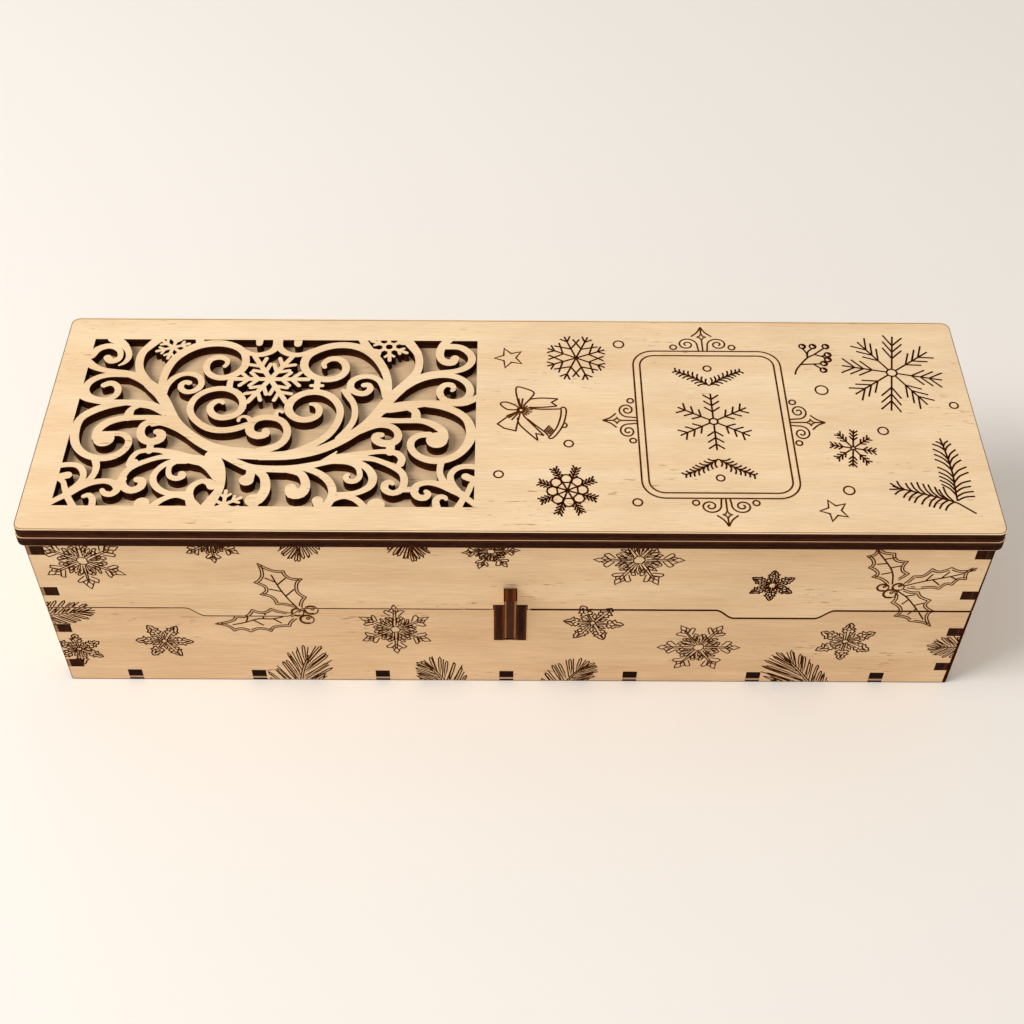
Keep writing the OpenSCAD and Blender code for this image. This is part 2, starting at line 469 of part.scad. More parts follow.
// Lower front wall: dips in the top edge, finger and tab notches, and the open notch of the latch.
module base_front() {
  color(birch)
    upright(front_y, wall_t)
      difference() {
        base_front_outline();
        finger_notches(base_fingers);
        floor_notches(tab_count, tab_pitch, tab_shift);
        translate([-latch_half, latch_foot_z - free_gap])
          square([2 * latch_half, body_h]);
      }
}

// Lower back wall, with open notches for the hinge cheeks.
module base_back() {
  color(birch)
    upright(back_y - wall_t, wall_t)
      difference() {
        translate([-body_w / 2, 0])
          square([body_w, base_top]);
        finger_notches(base_fingers);
        floor_notches(tab_count, tab_pitch, tab_shift);
        for (h = [-1, 1]) for (s = [-1, 1])
          translate([h * hinge_x + s * (cheek_x + plate_t / 2) - plate_t / 2, hinge_foot_z])
            square([plate_t, body_h]);
      }
}

// Drawing of a side wall: the part between front and back, and its corner fingers.
module side_outline(z0, z1, heights) {
  translate([-body_d / 2 + wall_t, z0])
    square([body_d - 2 * wall_t, z1 - z0]);
  for (z = heights)
    translate([-body_d / 2, z - finger_h / 2])
      square([body_d, finger_h]);
}

// Lower side wall at side -1 or 1.
module base_side(side) {
  color(birch)
    sideways_plate(side * (body_w - wall_t) / 2, wall_t)
      difference() {
        side_outline(0, base_top, base_fingers);
        floor_notches(2, side_tab_pitch, 0);
      }
}

// Floor with tabs that show through all four walls.
module base_floor() {
  color(birch_board)
    linear_extrude(height = wall_t) {
      square([body_w - 2 * wall_t, body_d - 2 * wall_t], center = true);
      for (i = [0 : tab_count - 1])
        translate([(i - (tab_count - 1) / 2) * tab_pitch + tab_shift - tab_w / 2, -body_d / 2])
          square([tab_w, body_d]);
      for (s = [-0.5, 0.5])
        translate([-body_w / 2, s * side_tab_pitch - tab_w / 2])
          square([body_w, tab_w]);
    }
}

// Latch cheek at side -1 or 1: a plate glued into the notch of the lower front wall.
module latch_cheek(side) {
  color(charred)
    sideways_plate(side * (cheek_x + plate_t / 2), plate_t)
      difference() {
        translate([front_y - latch_stand, latch_foot_z])
          square([wall_t + latch_stand, latch_cheek_top_z - latch_foot_z]);
        translate([latch_pivot_y, latch_pivot_z])
          circle(r = latch_pin_r + press_gap);
      }
}

// Pin that the latch lever swings on.
module latch_pin() {
  color(dowel)
    translate([-latch_half, latch_pivot_y, latch_pivot_z])
      rotate([0, 90, 0])
        cylinder(r = latch_pin_r, h = 2 * latch_half);
}

// Latch lever: round foot, wedge that leans out to the front, and a tongue for the notch of the lid.
module latch_lever() {
  foot = [for (a = [180 : 12 : 360])
    [latch_pivot_y + latch_foot_r * cos(a), latch_pivot_z + latch_foot_r * sin(a)]];
  color(charred)
    sideways_plate(0, plate_t)
      difference() {
        polygon(concat(foot, [
          [front_y + wall_t - plate_gap, latch_cheek_top_z - lever_back_drop],
          [front_y + tongue_depth, tongue_top_z],
          [front_y - latch_stand, tongue_top_z],
          [front_y - latch_stand, lever_top_z],
          [front_y - latch_reach + cap_lip, lever_top_z]
        ]));
        translate([latch_pivot_y, latch_pivot_z])
          circle(r = latch_pin_r + run_gap);
      }
}

// Cap glued on the top of the lever.
module latch_cap() {
  color(charred)
    sideways_plate(0, cap_w)
      translate([front_y - latch_reach, lever_top_z])
        square([latch_reach - latch_stand, cap_t]);
}

// Point on the round end of a hinge plate, at an angle above the level.
function round_point(r, a) = [hinge_y + r * cos(a), hinge_z + r * sin(a)];

// Hinge cheek at x: its foot sits in a notch of the lower back wall, its round end carries the pin.
module hinge_cheek(x) {
  color(birch)
    sideways_plate(x, plate_t)
      difference() {
        union() {
          translate([hinge_y, hinge_z])
            circle(r = hinge_r);
          polygon([
            [back_y - wall_t, hinge_foot_z],
            [back_y, hinge_foot_z],
            round_point(inner_r, -neck_angle),
            [hinge_y, hinge_z],
            [back_y + lip, base_top],
            [back_y - wall_t, base_top]
          ]);
        }
        translate([hinge_y, hinge_z])
          circle(r = hinge_pin_r + press_gap);
      }
}

// Hinge leaf at x: its foot sits in a notch of the upper back wall. When the lid is fully open,
// its heel is a hair short of the lower back wall.
module hinge_leaf(x) {
  heel_angle = lid_open - heel_turn - 90;
  color(birch)
    sideways_plate(x, plate_t)
      difference() {
        union() {
          translate([hinge_y, hinge_z])
            circle(r = hinge_r);
          polygon([
            [back_y - wall_t, lid_bottom + leaf_h],
            [back_y - wall_t, lid_bottom],
            [back_y + lip, lid_bottom],
            round_point(inner_r, heel_angles[0]),
            round_point(inner_r, heel_angles[1]),
            round_point(heel_r, heel_angle),
            round_point(inner_r, leaf_angle),
            round_point(inner_r, neck_angle),
            [back_y, lid_bottom + leaf_h]
          ]);
        }
        translate([hinge_y, hinge_z])
          circle(r = hinge_pin_r + run_gap);
      }
}

// Hinge pin at x, through both cheeks and the leaf.
module hinge_pin(x) {
  color(dowel)
    translate([x - latch_half, hinge_y, hinge_z])
      rotate([0, 90, 0])
        cylinder(r = hinge_pin_r, h = 2 * latch_half);
}

// Upper front wall: its lower edge follows the dips, with a notch for the latch.
module lid_front() {
  color(birch)
    upright(front_y, wall_t)
      difference() {
        polygon(concat(
          [[-body_w / 2, body_h], [-body_w / 2, lid_bottom]],
          whole_seam(lid_bottom),
          [[body_w / 2, lid_bottom], [body_w / 2, body_h]]
        ));
        finger_notches(lid_fingers);
        translate([-latch_half - free_gap, 0])
          square([2 * (latch_half + free_gap), latch_cheek_top_z + seam_gap]);
        translate([-plate_t / 2 - free_gap, 0])
          square([plate_t + 2 * free_gap, tongue_top_z + seam_gap]);
      }
}

// Upper back wall, with a notch for each hinge leaf.
module lid_back() {
  color(birch)
    upright(back_y - wall_t, wall_t)
      difference() {
        translate([-body_w / 2, lid_bottom])
          square([body_w, body_h - lid_bottom]);
        finger_notches(lid_fingers);
        for (h = [-1, 1])
          translate([h * hinge_x - plate_t / 2, lid_bottom - cut])
            square([plate_t, leaf_h + cut]);
      }
}

// Upper side wall at side -1 or 1.
module lid_side(side) {
  color(birch)
    sideways_plate(side * (body_w - wall_t) / 2, wall_t)
      side_outline(lid_bottom, body_h, lid_fingers);
}

// Solid lower board of the lid, which shows pale through the fretwork.
module lid_board() {
  color(birch_board)
    board(board_w, board_d, board_t, board_r, body_h);
}

// Upper board of the lid with the fretwork window, glued on the lower board.
module fret_panel() {
  color(birch_board)
    difference() {
      board(board_w - 2 * panel_inset, board_d - 2 * panel_inset, board_t, board_r, body_h + board_t);
      translate([0, 0, body_h + board_t - cut])
        linear_extrude(height = board_t + 2 * cut)
          offset(delta = 0.1)
            offset(delta = -0.1)
              difference() {
                translate([window_left, window_front])
                  square([window_right - window_left, window_back - window_front]);
                fretwork();
              }
    }
}

base_front();
base_back();
base_side(-1);  // base_left
base_side(1);  // base_right
base_floor();
latch_cheek(-1);  // latch_cheek_left
latch_cheek(1);  // latch_cheek_right
latch_pin();
hinge_cheek(-hinge_x - cheek_x - plate_t / 2);  // hinge_left_cheek_outer
hinge_cheek(-hinge_x + cheek_x + plate_t / 2);  // hinge_left_cheek_inner
hinge_pin(-hinge_x);  // hinge_left_pin
hinge_cheek(hinge_x + cheek_x + plate_t / 2);  // hinge_right_cheek_outer
hinge_cheek(hinge_x - cheek_x - plate_t / 2);  // hinge_right_cheek_inner
hinge_pin(hinge_x);  // hinge_right_pin
lid_front();
lid_back();
lid_side(-1);  // lid_left
lid_side(1);  // lid_right
lid_board();
fret_panel();
hinge_leaf(-hinge_x);  // hinge_left_leaf
hinge_leaf(hinge_x);  // hinge_right_leaf
latch_lever();
latch_cap();
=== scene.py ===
"""Hinged birch plywood gift box for one bottle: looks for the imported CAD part.

Everything is in metres in the CAD part's frame. Drawings on the boards are given in millimetres,
in the flat coordinates of the board that carries them.
"""

import bpy
import numpy as np
from mathutils import Matrix, Vector


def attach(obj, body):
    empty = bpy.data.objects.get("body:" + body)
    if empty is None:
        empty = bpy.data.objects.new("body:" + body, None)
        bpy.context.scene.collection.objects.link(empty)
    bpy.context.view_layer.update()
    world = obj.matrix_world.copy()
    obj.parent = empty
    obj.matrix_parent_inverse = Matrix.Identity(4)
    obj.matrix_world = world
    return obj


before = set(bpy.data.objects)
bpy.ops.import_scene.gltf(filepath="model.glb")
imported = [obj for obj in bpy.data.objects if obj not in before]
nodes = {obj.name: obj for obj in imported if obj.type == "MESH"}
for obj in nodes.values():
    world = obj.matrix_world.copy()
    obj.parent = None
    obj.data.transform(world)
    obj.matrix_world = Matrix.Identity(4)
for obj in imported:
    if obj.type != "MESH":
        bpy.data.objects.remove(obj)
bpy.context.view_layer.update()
mm = 0.001


# Plywood of the box: bare birch faces with fine grain along the length and a few brown flecks.
# The boards are cut by a beam, so every cut edge is charred, and some veneers stay lighter there.
# A face is told from a cut edge by the normal along the board's thin axis.


def put(tree, kind, inputs=None, **settings):
    """One shader node: settings go on the node itself, and inputs on its sockets, linked or set."""
    made = tree.nodes.new("ShaderNode" + kind)
    for key, value in settings.items():
        setattr(made, key, value)
    for key, value in (inputs or {}).items():
        if isinstance(value, bpy.types.NodeSocket):
            tree.links.new(value, made.inputs[key])
        else:
            made.inputs[key].default_value = value
    return made


def colour(red, green, blue):
    """Linear colour of an 8-bit screen colour."""
    c = np.array([red, green, blue]) / 255
    linear = np.where(c <= 0.04045, c / 12.92, ((c + 0.055) / 1.055) ** 2.4)
    return (*linear.tolist(), 1.0)


def mixed(tree, factor, first, second, mode="MIX"):
    """Colour first mixed with second by factor; mode multiplies them instead."""
    return put(tree, "Mix", {0: factor, 6: first, 7: second}, data_type="RGBA",
               blend_type=mode).outputs[2]


def ramp(tree, factor, stops):
    """Colour ramp with the given (position, colour) stops."""
    node = put(tree, "ValToRGB", {"Fac": factor})
    elements = node.color_ramp.elements
    for position, shade in stops[1:-1]:
        elements.new(position).color = shade
    elements[0].position, elements[0].color = stops[0]
    elements[-1].position, elements[-1].color = stops[-1]
    return node.outputs["Color"]


def noise(tree, vector, cells, detail=3.0, roughness=0.55):
    """Noise with the given number of cells per unit along each axis."""
    scaled = put(tree, "VectorMath", {0: vector, 1: cells}, operation="MULTIPLY")
    made = put(tree, "TexNoise", {
        "Vector": scaled.outputs[0], "Scale": 1.0, "Detail": detail, "Roughness": roughness})
    return made.outputs["Fac"]


def between(tree, value, low, high):
    """0 below low, 1 above high and a straight line between."""
    inputs = {"Value": value, "From Min": low, "From Max": high}
    return put(tree, "MapRange", inputs).outputs["Result"]


def times(tree, first, second):
    """Product of two numbers."""
    return put(tree, "Math", {0: first, 1: second}, operation="MULTIPLY").outputs[0]


grey = lambda level: (level, level, level, 1.0)
char_black = colour(32, 12, 4)
char_brown = colour(92, 44, 18)
fleck_brown = colour(152, 102, 56)
cloud_tan = (0.93, 0.9, 0.87, 1.0)

# Cells of each noise per millimetre: along the grain, across it, and through the thickness.
tone_cells = (0.006, 0.11, 0.2)
fibre_cells = (0.085, 2.6, 1.4)
cloud_cells = (0.02, 0.03, 0.03)
dash_cells = (0.14, 1.0, 1.0)
rare_cells = (0.021, 0.06, 0.1)
soot_cells = (0.22, 0.22, 0.6)
patch_cells = (0.09, 0.09, 0.4)


def plywood(name, thin, grain, start, thickness, pale, tan, bands, char=1.0, shift=0.0):
    """Birch plywood material.

    thin and grain are the axes of the board's thickness and of its grain, 0, 1 or 2 for X, Y or Z.
    start is where the thickness begins in millimetres, and bands are the colours of the cut edge
    across it. char is how much of the edge is burnt, and shift moves the pattern, so that no two
    boards are alike.
    """
    made = bpy.data.materials.new(name)
    made.use_nodes = True
    tree = made.node_tree
    shader = tree.nodes["Principled BSDF"]
    shader.inputs["Roughness"].default_value = 0.65
    coordinate = put(tree, "TexCoord")
    split = put(tree, "SeparateXYZ", {0: coordinate.outputs["Object"]}).outputs
    across = 3 - thin - grain
    ordered = put(tree, "CombineXYZ", {0: split[grain], 1: split[across], 2: split[thin]})
    board = {0: ordered.outputs[0], "Scale": 1 / mm}
    scaled = put(tree, "VectorMath", board, operation="SCALE").outputs[0]
    moved = (shift, shift * 0.7, shift * 0.3)
    place = put(tree, "VectorMath", {0: scaled, 1: moved}).outputs[0]

    # Face: slow bands of tone along the grain, fine fibres, and short brown flecks. The fibres
    # are moved a millimetre aside, so that they don't follow the flecks.
    fibre_place = put(tree, "VectorMath", {0: place, 1: (0.0, 1.0, 0.0)}).outputs[0]
    tone = noise(tree, fibre_place, tone_cells)
    face = ramp(tree, tone, ((0.25, tan), (0.72, pale)))
    fibre = noise(tree, fibre_place, fibre_cells, 4.0, 0.7)
    streaks = ramp(tree, fibre, ((0.28, grey(0.8)), (0.72, grey(1.09))))
    face = mixed(tree, 1.0, face, streaks, "MULTIPLY")
    clouds = ramp(tree, noise(tree, place, cloud_cells), ((0.3, cloud_tan), (0.7, grey(1.03))))
    face = mixed(tree, 1.0, face, clouds, "MULTIPLY")
    dash = between(tree, noise(tree, place, dash_cells, 2.0), 0.64, 0.7)
    rare = between(tree, noise(tree, place, rare_cells, 1.0), 0.56, 0.64)
    fleck_strength = 0.7
    fleck = times(tree, times(tree, dash, rare), fleck_strength)
    face = mixed(tree, fleck, face, fleck_brown)

    # Cut edge: veneers across the thickness, charred in patches.
    through = put(tree, "SeparateXYZ", {0: scaled}).outputs[2]
    veneers = ramp(tree, between(tree, through, start, start + thickness), bands)
    soot = noise(tree, place, soot_cells, 4.0, 0.65)
    burnt = ramp(tree, soot, ((0.3, char_black), (0.75, char_brown)))
    patch = between(tree, noise(tree, place, patch_cells), 0.3, 0.7)
    darkened = mixed(tree, 1.0, veneers, grey(0.55), "MULTIPLY")
    edge = mixed(tree, times(tree, patch, char), veneers, darkened)
    edge = mixed(tree, 0.4 * char, edge, burnt)

    # The face has a faint sheen and the bump of its fibres, and the char is dull.
    normal = put(tree, "SeparateXYZ", {0: coordinate.outputs["Normal"]}).outputs[thin]
    facing = put(tree, "Math", {0: normal}, operation="ABSOLUTE").outputs[0]
    flat = put(tree, "Math", {0: facing, 1: 0.7}, operation="GREATER_THAN").outputs[0]
    tree.links.new(mixed(tree, flat, edge, face), shader.inputs["Base Color"])
    sheen = put(tree, "MapRange", {"Value": flat, "To Min": 0.03, "To Max": 0.2})
    tree.links.new(sheen.outputs["Result"], shader.inputs["Specular IOR Level"])
    grain_bump = put(tree, "Bump", {"Height": fibre, "Strength": 0.12, "Distance": 0.2 * mm})
    tree.links.new(grain_bump.outputs[0], shader.inputs["Normal"])
    return made


def paint(material, *names):
    """Puts one material on the given CAD nodes."""
    for name in names:
        nodes[name].data.materials.clear()
        nodes[name].data.materials.append(material)


# Walls: 6.5 mm plywood. The front and back run the whole length, and the side walls sit between
# them with fingers that show as dark squares at the corners. The base is a little browner than
# the lid, and each side wall's fingers have their own pattern of veneers.
wall = 6.5
half_width = 173.5
half_depth = 54.5
wall_bands = (
    (0.0, char_brown), (0.1, char_black), (0.55, colour(40, 20, 12)), (0.7, colour(70, 36, 20)),
    (1.0, char_black),
)
finger_left = (
    (0.0, colour(196, 146, 98)), (0.18, colour(205, 158, 112)), (0.24, char_black),
    (0.7, colour(36, 18, 10)), (0.74, colour(60, 34, 22)), (1.0, char_black),
)
finger_right = (
    (0.0, char_black), (0.56, colour(34, 18, 12)), (0.62, colour(96, 60, 38)),
    (0.72, colour(44, 24, 16)), (0.9, colour(30, 15, 9)), (1.0, colour(80, 48, 30)),
)
base_pale, base_tan = colour(243, 207, 164), colour(228, 187, 142)
lid_pale, lid_tan = colour(248, 215, 173), colour(235, 196, 150)
for part, pale, tan, shift in (
        ("base", base_pale, base_tan, 0.0), ("lid", lid_pale, lid_tan, 131.0)):
    for side, thin, grain, start, bands, further in (
            ("front", 1, 0, -half_depth, wall_bands, 0.0),
            ("back", 1, 0, half_depth - wall, wall_bands, 57.0),
            ("left", 0, 1, -half_width, finger_left, 23.0),
            ("right", 0, 1, half_width - wall, finger_right, 87.0)):
        name = f"{part}_{side}"
        birch = plywood(name + "_plywood", thin, grain, start, wall, pale, tan, bands,
                        shift=shift + further)
        paint(birch, name)

# Floor: the same plywood as the walls, let into them with tabs. A light veneer crosses each dark
# tab end, which shows in the lower edge of the front.
floor_bands = (
    (0.0, char_black), (0.16, char_black), (0.19, colour(190, 152, 122)),
    (0.33, colour(214, 178, 146)), (0.37, char_black), (1.0, char_black),
)
floor_birch = plywood("floor_plywood", 2, 0, 0.0, wall, base_pale, base_tan, floor_bands,
                      char=0.3, shift=211.0)
paint(floor_birch, "base_floor")

# Lid boards: two sheets of 4 mm plywood glued flat, the palest faces of the box. Their cut edges
# and the walls of the pierced window are charred almost black, with a thin light line where they
# meet. The lower board, which shows through the window, is painted darker all over: painted shade
# for the shadow that the window's walls cast on it.
board = 4.0
board_low = 84.0
board_top = board_low + 2 * board
board_pale, board_tan = colour(254, 226, 186), colour(247, 211, 166)
# Colours of the lower board, darkened as painted shade of the window's shadow.
shaded_pale, shaded_tan = colour(238, 208, 168), colour(228, 192, 150)
lower_bands = (
    (0.0, colour(60, 30, 18)), (0.3, char_black), (0.72, colour(44, 18, 9)),
    (0.9, colour(84, 46, 28)), (1.0, colour(120, 78, 50)),
)
upper_bands = (
    (0.0, colour(124, 76, 44)), (0.12, colour(76, 36, 18)), (0.3, colour(80, 38, 19)),
    (0.5, char_black), (0.8, colour(46, 22, 12)), (1.0, colour(92, 50, 26)),
)
lower_birch = plywood("lower_board_plywood", 2, 0, board_low, board, shaded_pale, shaded_tan,
                      lower_bands, shift=301.0)
upper_birch = plywood("fret_plywood", 2, 0, board_low + board, board, board_pale, board_tan,
                      upper_bands, shift=17.0)
paint(lower_birch, "lid_board")
paint(upper_birch, "fret_panel")

# Latch: a lever between two cheeks, all small plates of 4 mm plywood seen on their charred edges,
# with a light line along each face veneer. On the lever these light bands are wider and paler: face
# veneer and painted highlight of its lit side edges. The lever leans out at the top, has a small
# cap plate glued on, and turns on a hidden pin.
plate = 4.0
cheek_inner = 2.2
latch_bands = (
    (0.0, colour(150, 92, 50)), (0.12, colour(104, 56, 28)), (0.3, colour(50, 31, 24)),
    (0.7, colour(46, 28, 22)), (0.88, colour(104, 56, 28)), (1.0, colour(156, 98, 56)),
)
for side, low, name in ((-1, -cheek_inner - plate, "latch_cheek_left"),
                        (1, cheek_inner, "latch_cheek_right")):
    birch = plywood(name + "_plywood", 0, 2, low, plate, base_pale, base_tan, latch_bands,
                    shift=40.0 * side)
    paint(birch, name)
# Bands across the lever: the pale outer bands are face veneer and painted highlight of its lit side
# edges.
lever_bands_with_highlight = (
    (0.0, colour(214, 150, 98)), (0.09, colour(170, 100, 54)), (0.2, colour(78, 48, 32)),
    (0.8, colour(72, 44, 30)), (0.91, colour(170, 100, 54)), (1.0, colour(214, 150, 98)),
)
lever_birch = plywood("lever_plywood", 0, 2, -plate / 2, plate, base_pale, base_tan, lever_bands_with_highlight,
                      char=0.6)
paint(lever_birch, "latch_lever")
cap_width = 5.0
cap_bands = (
    (0.0, colour(24, 12, 6)), (0.07, colour(40, 20, 10)), (0.16, colour(124, 66, 30)),
    (0.34, colour(92, 46, 20)), (0.5, colour(60, 32, 18)), (0.66, colour(92, 46, 20)),
    (0.84, colour(124, 66, 30)), (0.93, colour(40, 20, 10)), (1.0, colour(24, 12, 6)),
)
cap_birch = plywood("cap_plywood", 0, 1, -cap_width / 2, cap_width, base_pale, base_tan, cap_bands,
                    char=0.5, shift=9.0)
paint(cap_birch, "latch_cap")

# Hinges: two cheeks and a leaf at each side, plates of the same kind as the latch, let into the
# back walls and lighter on their edges. They turn on round wooden pins, as the latch does.
hinge_x = 115.0
cheek_middle = cheek_inner + plate / 2
hinge_bands = (
    (0.0, colour(170, 118, 74)), (0.12, colour(90, 50, 28)), (0.5, colour(60, 30, 16)),
    (0.88, colour(90, 50, 28)), (1.0, colour(170, 118, 74)),
)
for side, word in ((-1, "left"), (1, "right")):
    for offset, piece in ((side * cheek_middle, "cheek_outer"),
                          (-side * cheek_middle, "cheek_inner"), (0.0, "leaf")):
        low = side * hinge_x + offset - plate / 2
        name = f"hinge_{word}_{piece}"
        birch = plywood(name + "_plywood", 0, 2, low, plate, base_pale, base_tan, hinge_bands,
                        shift=low)
        paint(birch, name)
pin_bands = ((0.0, base_tan), (1.0, base_tan))
pin_start, pin_span = -200.0, 400.0
pin_wood = plywood("pin_wood", 0, 2, pin_start, pin_span, base_tan, colour(186, 140, 92),
                   pin_bands, char=0.2)
paint(pin_wood, "latch_pin", "hinge_left_pin", "hinge_right_pin")


# Drawings: brown lines burnt lightly into the faces. A line is a thin flat strip that lies on the
# board, and all the lines of one board and shade are one piece.


def smooth(points, steps=6):
    """Curve through the points: each span is the usual cubic of its ends and their neighbours."""
    p = np.asarray(points, float)
    ends = np.vstack([p[:1], p, p[-1:]])
    a, b, c, d = (ends[k:len(ends) - 3 + k, None] for k in range(4))
    t = np.linspace(0, 1, steps, endpoint=False)[None, :, None]
    spans = 0.5 * (2 * b + (c - a) * t + (2 * a - 5 * b + 4 * c - d) * t**2
                   + (3 * b - a - 3 * c + d) * t**3)
    return np.vstack([spans.reshape(-1, 2), p[-1:]])


def arc(centre, radius, start=0.0, end=360.0, steps=20):
    """Arc: centre plus radius times (cos a, sin a), for a from start to end degrees."""
    a = np.radians(np.linspace(start, end, steps + 1))
    return np.column_stack([centre[0] + radius * np.cos(a), centre[1] + radius * np.sin(a)])


def turned(points, degrees, centre=(0, 0), scale=1.0):
    """Points turned about the origin, scaled (by one number or one per axis), moved to centre."""
    a = np.radians(degrees)
    spin = np.array([[np.cos(a), np.sin(a)], [-np.sin(a), np.cos(a)]])
    return np.asarray(points, float) @ spin * scale + np.asarray(centre, float)


def both(points):
    """A stroke and its mirror image across the first axis."""
    p = np.asarray(points, float)
    return [p, p * (1, -1)]


def starred(arm, centre, scale, arms, turn=0.0):
    """The strokes of one arm repeated round a centre."""
    return [turned(s, turn + 360 * k / arms, centre, scale) for k in range(arms) for s in arm]


def clipped(stroke, area):
    """Parts of a stroke inside an area, after it is cut into steps of half a millimetre.

    Places along the stroke are rounded to a micrometre, so that no part is only a doubled point.
    """
    p = np.asarray(stroke, float)
    gaps = np.linalg.norm(np.diff(p, axis=0), axis=1)
    places = np.concatenate([[0], np.cumsum(gaps)])
    fine = np.unique(np.round(np.concatenate([places, np.arange(0, places[-1], 0.5)]), 3))
    dense = np.column_stack([np.interp(fine, places, p[:, k]) for k in (0, 1)])
    inside = area(dense[:, 0], dense[:, 1])
    if inside.all():
        return [p]
    runs = np.split(np.arange(len(dense)), np.flatnonzero(np.diff(inside.astype(int))) + 1)
    return [dense[r] for r in runs if inside[r[0]] and len(r) > 1]


def strip(points, width):
    """Flat strip along a path: each point goes half a width to both sides, along the mean normal.

    The reach grows at bends by 1 over the cosine of half the turn, up to a limit.
    """
    shortest, nearly_closed, least_mean, least_cosine = 1e-4, 1e-3, 0.3, 0.6
    p = np.asarray(points, float)
    p = p[np.concatenate([[True], np.linalg.norm(np.diff(p, axis=0), axis=1) > shortest])]
    step = np.diff(p, axis=0)
    step /= np.linalg.norm(step, axis=1)[:, None]
    closed = np.linalg.norm(p[0] - p[-1]) < nearly_closed
    before = np.vstack([step[-1:] if closed else step[:1], step])
    after = np.vstack([step, step[:1] if closed else step[-1:]])
    mean = before + after
    mean /= np.maximum(np.linalg.norm(mean, axis=1), least_mean)[:, None]
    normal = np.column_stack([-mean[:, 1], mean[:, 0]])
    reach = width / 2 / np.clip(np.sum(mean * after, axis=1), least_cosine, 1.0)
    side = normal * reach[:, None]
    return np.vstack([p + side, p - side]), len(p)


lowest_lift = 0.03
lift_range = 0.02
lift_steps = 50


def drawing(name, strokes, width, place, material, body, area):
    """One piece with all the strokes as strips; each strip lies a hair higher than the last."""
    corners, quads, count = [], [], 0
    parts = [part for s in strokes for part in clipped(s, area)]
    for number, part in enumerate(parts):
        flat, n = strip(part, width)
        lift = lowest_lift + lift_range * (number % lift_steps) / lift_steps
        corners.append(place(flat, lift))
        k = np.arange(n - 1)
        quads.append(np.column_stack([k + n, k + n + 1, k + 1, k]) + count)
        count += 2 * n
    mesh = bpy.data.meshes.new(name)
    mesh.from_pydata(np.vstack(corners) * mm, [], np.vstack(quads).tolist())
    mesh.update()
    piece = bpy.data.objects.new(name, mesh)
    bpy.context.scene.collection.objects.link(piece)
    piece.data.materials.append(material)
    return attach(piece, body)


def burnt_line(name, dark, light):
    """Brown of a burnt line, darker where the beam slowed down."""
    made = bpy.data.materials.new(name)
    made.use_nodes = True
    tree = made.node_tree
    shader = tree.nodes["Principled BSDF"]
    shader.inputs["Roughness"].default_value = 0.8
    shader.inputs["Specular IOR Level"].default_value = 0.0
    cells_per_metre = (420.0, 420.0, 420.0)
    tone = noise(tree, put(tree, "TexCoord").outputs["Object"], cells_per_metre, 3.0, 0.6)
    shade = ramp(tree, tone, ((0.35, dark), (0.68, light)))
    tree.links.new(shade, shader.inputs["Base Color"])
    return made


dark_line = burnt_line("dark_burnt_line", colour(32, 9, 0), colour(74, 28, 2))
light_line = burnt_line("light_burnt_line", colour(58, 23, 2), colour(100, 50, 8))
on_lid = lambda flat, lift: np.column_stack([flat, np.full(len(flat), board_top + lift)])
lid_half_width, lid_half_depth = 175.2, 55.7
lid_area = lambda x, y: (np.abs(x) < lid_half_width) & (np.abs(y) < lid_half_depth)


# Stars, small rings and a sprig of berries on the lid: single lines burnt with the beam moving
# fast, so the stars and rings are light, and the sprig a little darker.


def star(centre, radius, inner, turn):
    """Five-pointed star: corners 36 degrees apart, at the outer and the inner radius in turn."""
    corner = np.arange(11)
    a = np.radians(turn + 36 * corner)
    r = np.where(corner % 2 == 0, radius, inner)
    return np.column_stack([centre[0] + r * np.cos(a), centre[1] + r * np.sin(a)])


lid_light = [star((-0.8, 34.0), 5.8, 2.6, 182), star((115.4, -45.1), 5.3, 2.4, 182)]
for x, y, r in ((42.3, 42.2, 2.0), (21.3, -12.5, 1.7), (-4.6, -28.2, 1.7), (45.3, -41.6, 1.7),
                (119.1, 16.8, 2.4), (168.4, 8.8, 1.6), (139.2, -5.0, 1.9), (122.0, -35.3, 2.0)):
    lid_light.append(arc((x, y), r))
lid_dark = [smooth(twig) for twig in (
    [(110, 25.4), (111, 28.3), (113, 31.3), (116, 35), (119, 37), (121.3, 39), (123, 40.4)],
    [(116, 35), (116, 37.6), (114.8, 40.2)],
    [(116, 35.2), (116.6, 38.4), (118.4, 40.2)],
    [(119, 37), (121.5, 36), (123, 36.4)],
    [(113, 31.2), (117, 31.4), (120.6, 31.6)],
    [(118, 31.3), (119.4, 30), (120.6, 28.7)],
    [(121.5, 36), (123, 35), (123.4, 34.4)],
)]
berry, berry_shade = 1.25, 0.7
for x, y in ((114.8, 41.6), (118.9, 41.6), (124.0, 41.6), (124.2, 36.8), (123.9, 34.0),
             (122.1, 31.8), (121.4, 28.0)):
    lid_dark += [arc((x, y), berry), arc((x + 0.25, y - 0.2), berry_shade, -120, 120, 10)]


# Snowflakes on the lid: four line snowflakes of different kinds, burnt dark. Each is one arm, and
# in two of them one figure between the arms, repeated eight times round the middle.


def barbs(first, last, count, length, angle):
    """Pairs of short straight branches along an arm, all at one angle to it."""
    lean = np.radians(angle)
    out = []
    for r in np.linspace(first, last, count):
        out += both([(r, 0), (r + length * np.cos(lean), length * np.sin(lean))])
    return out


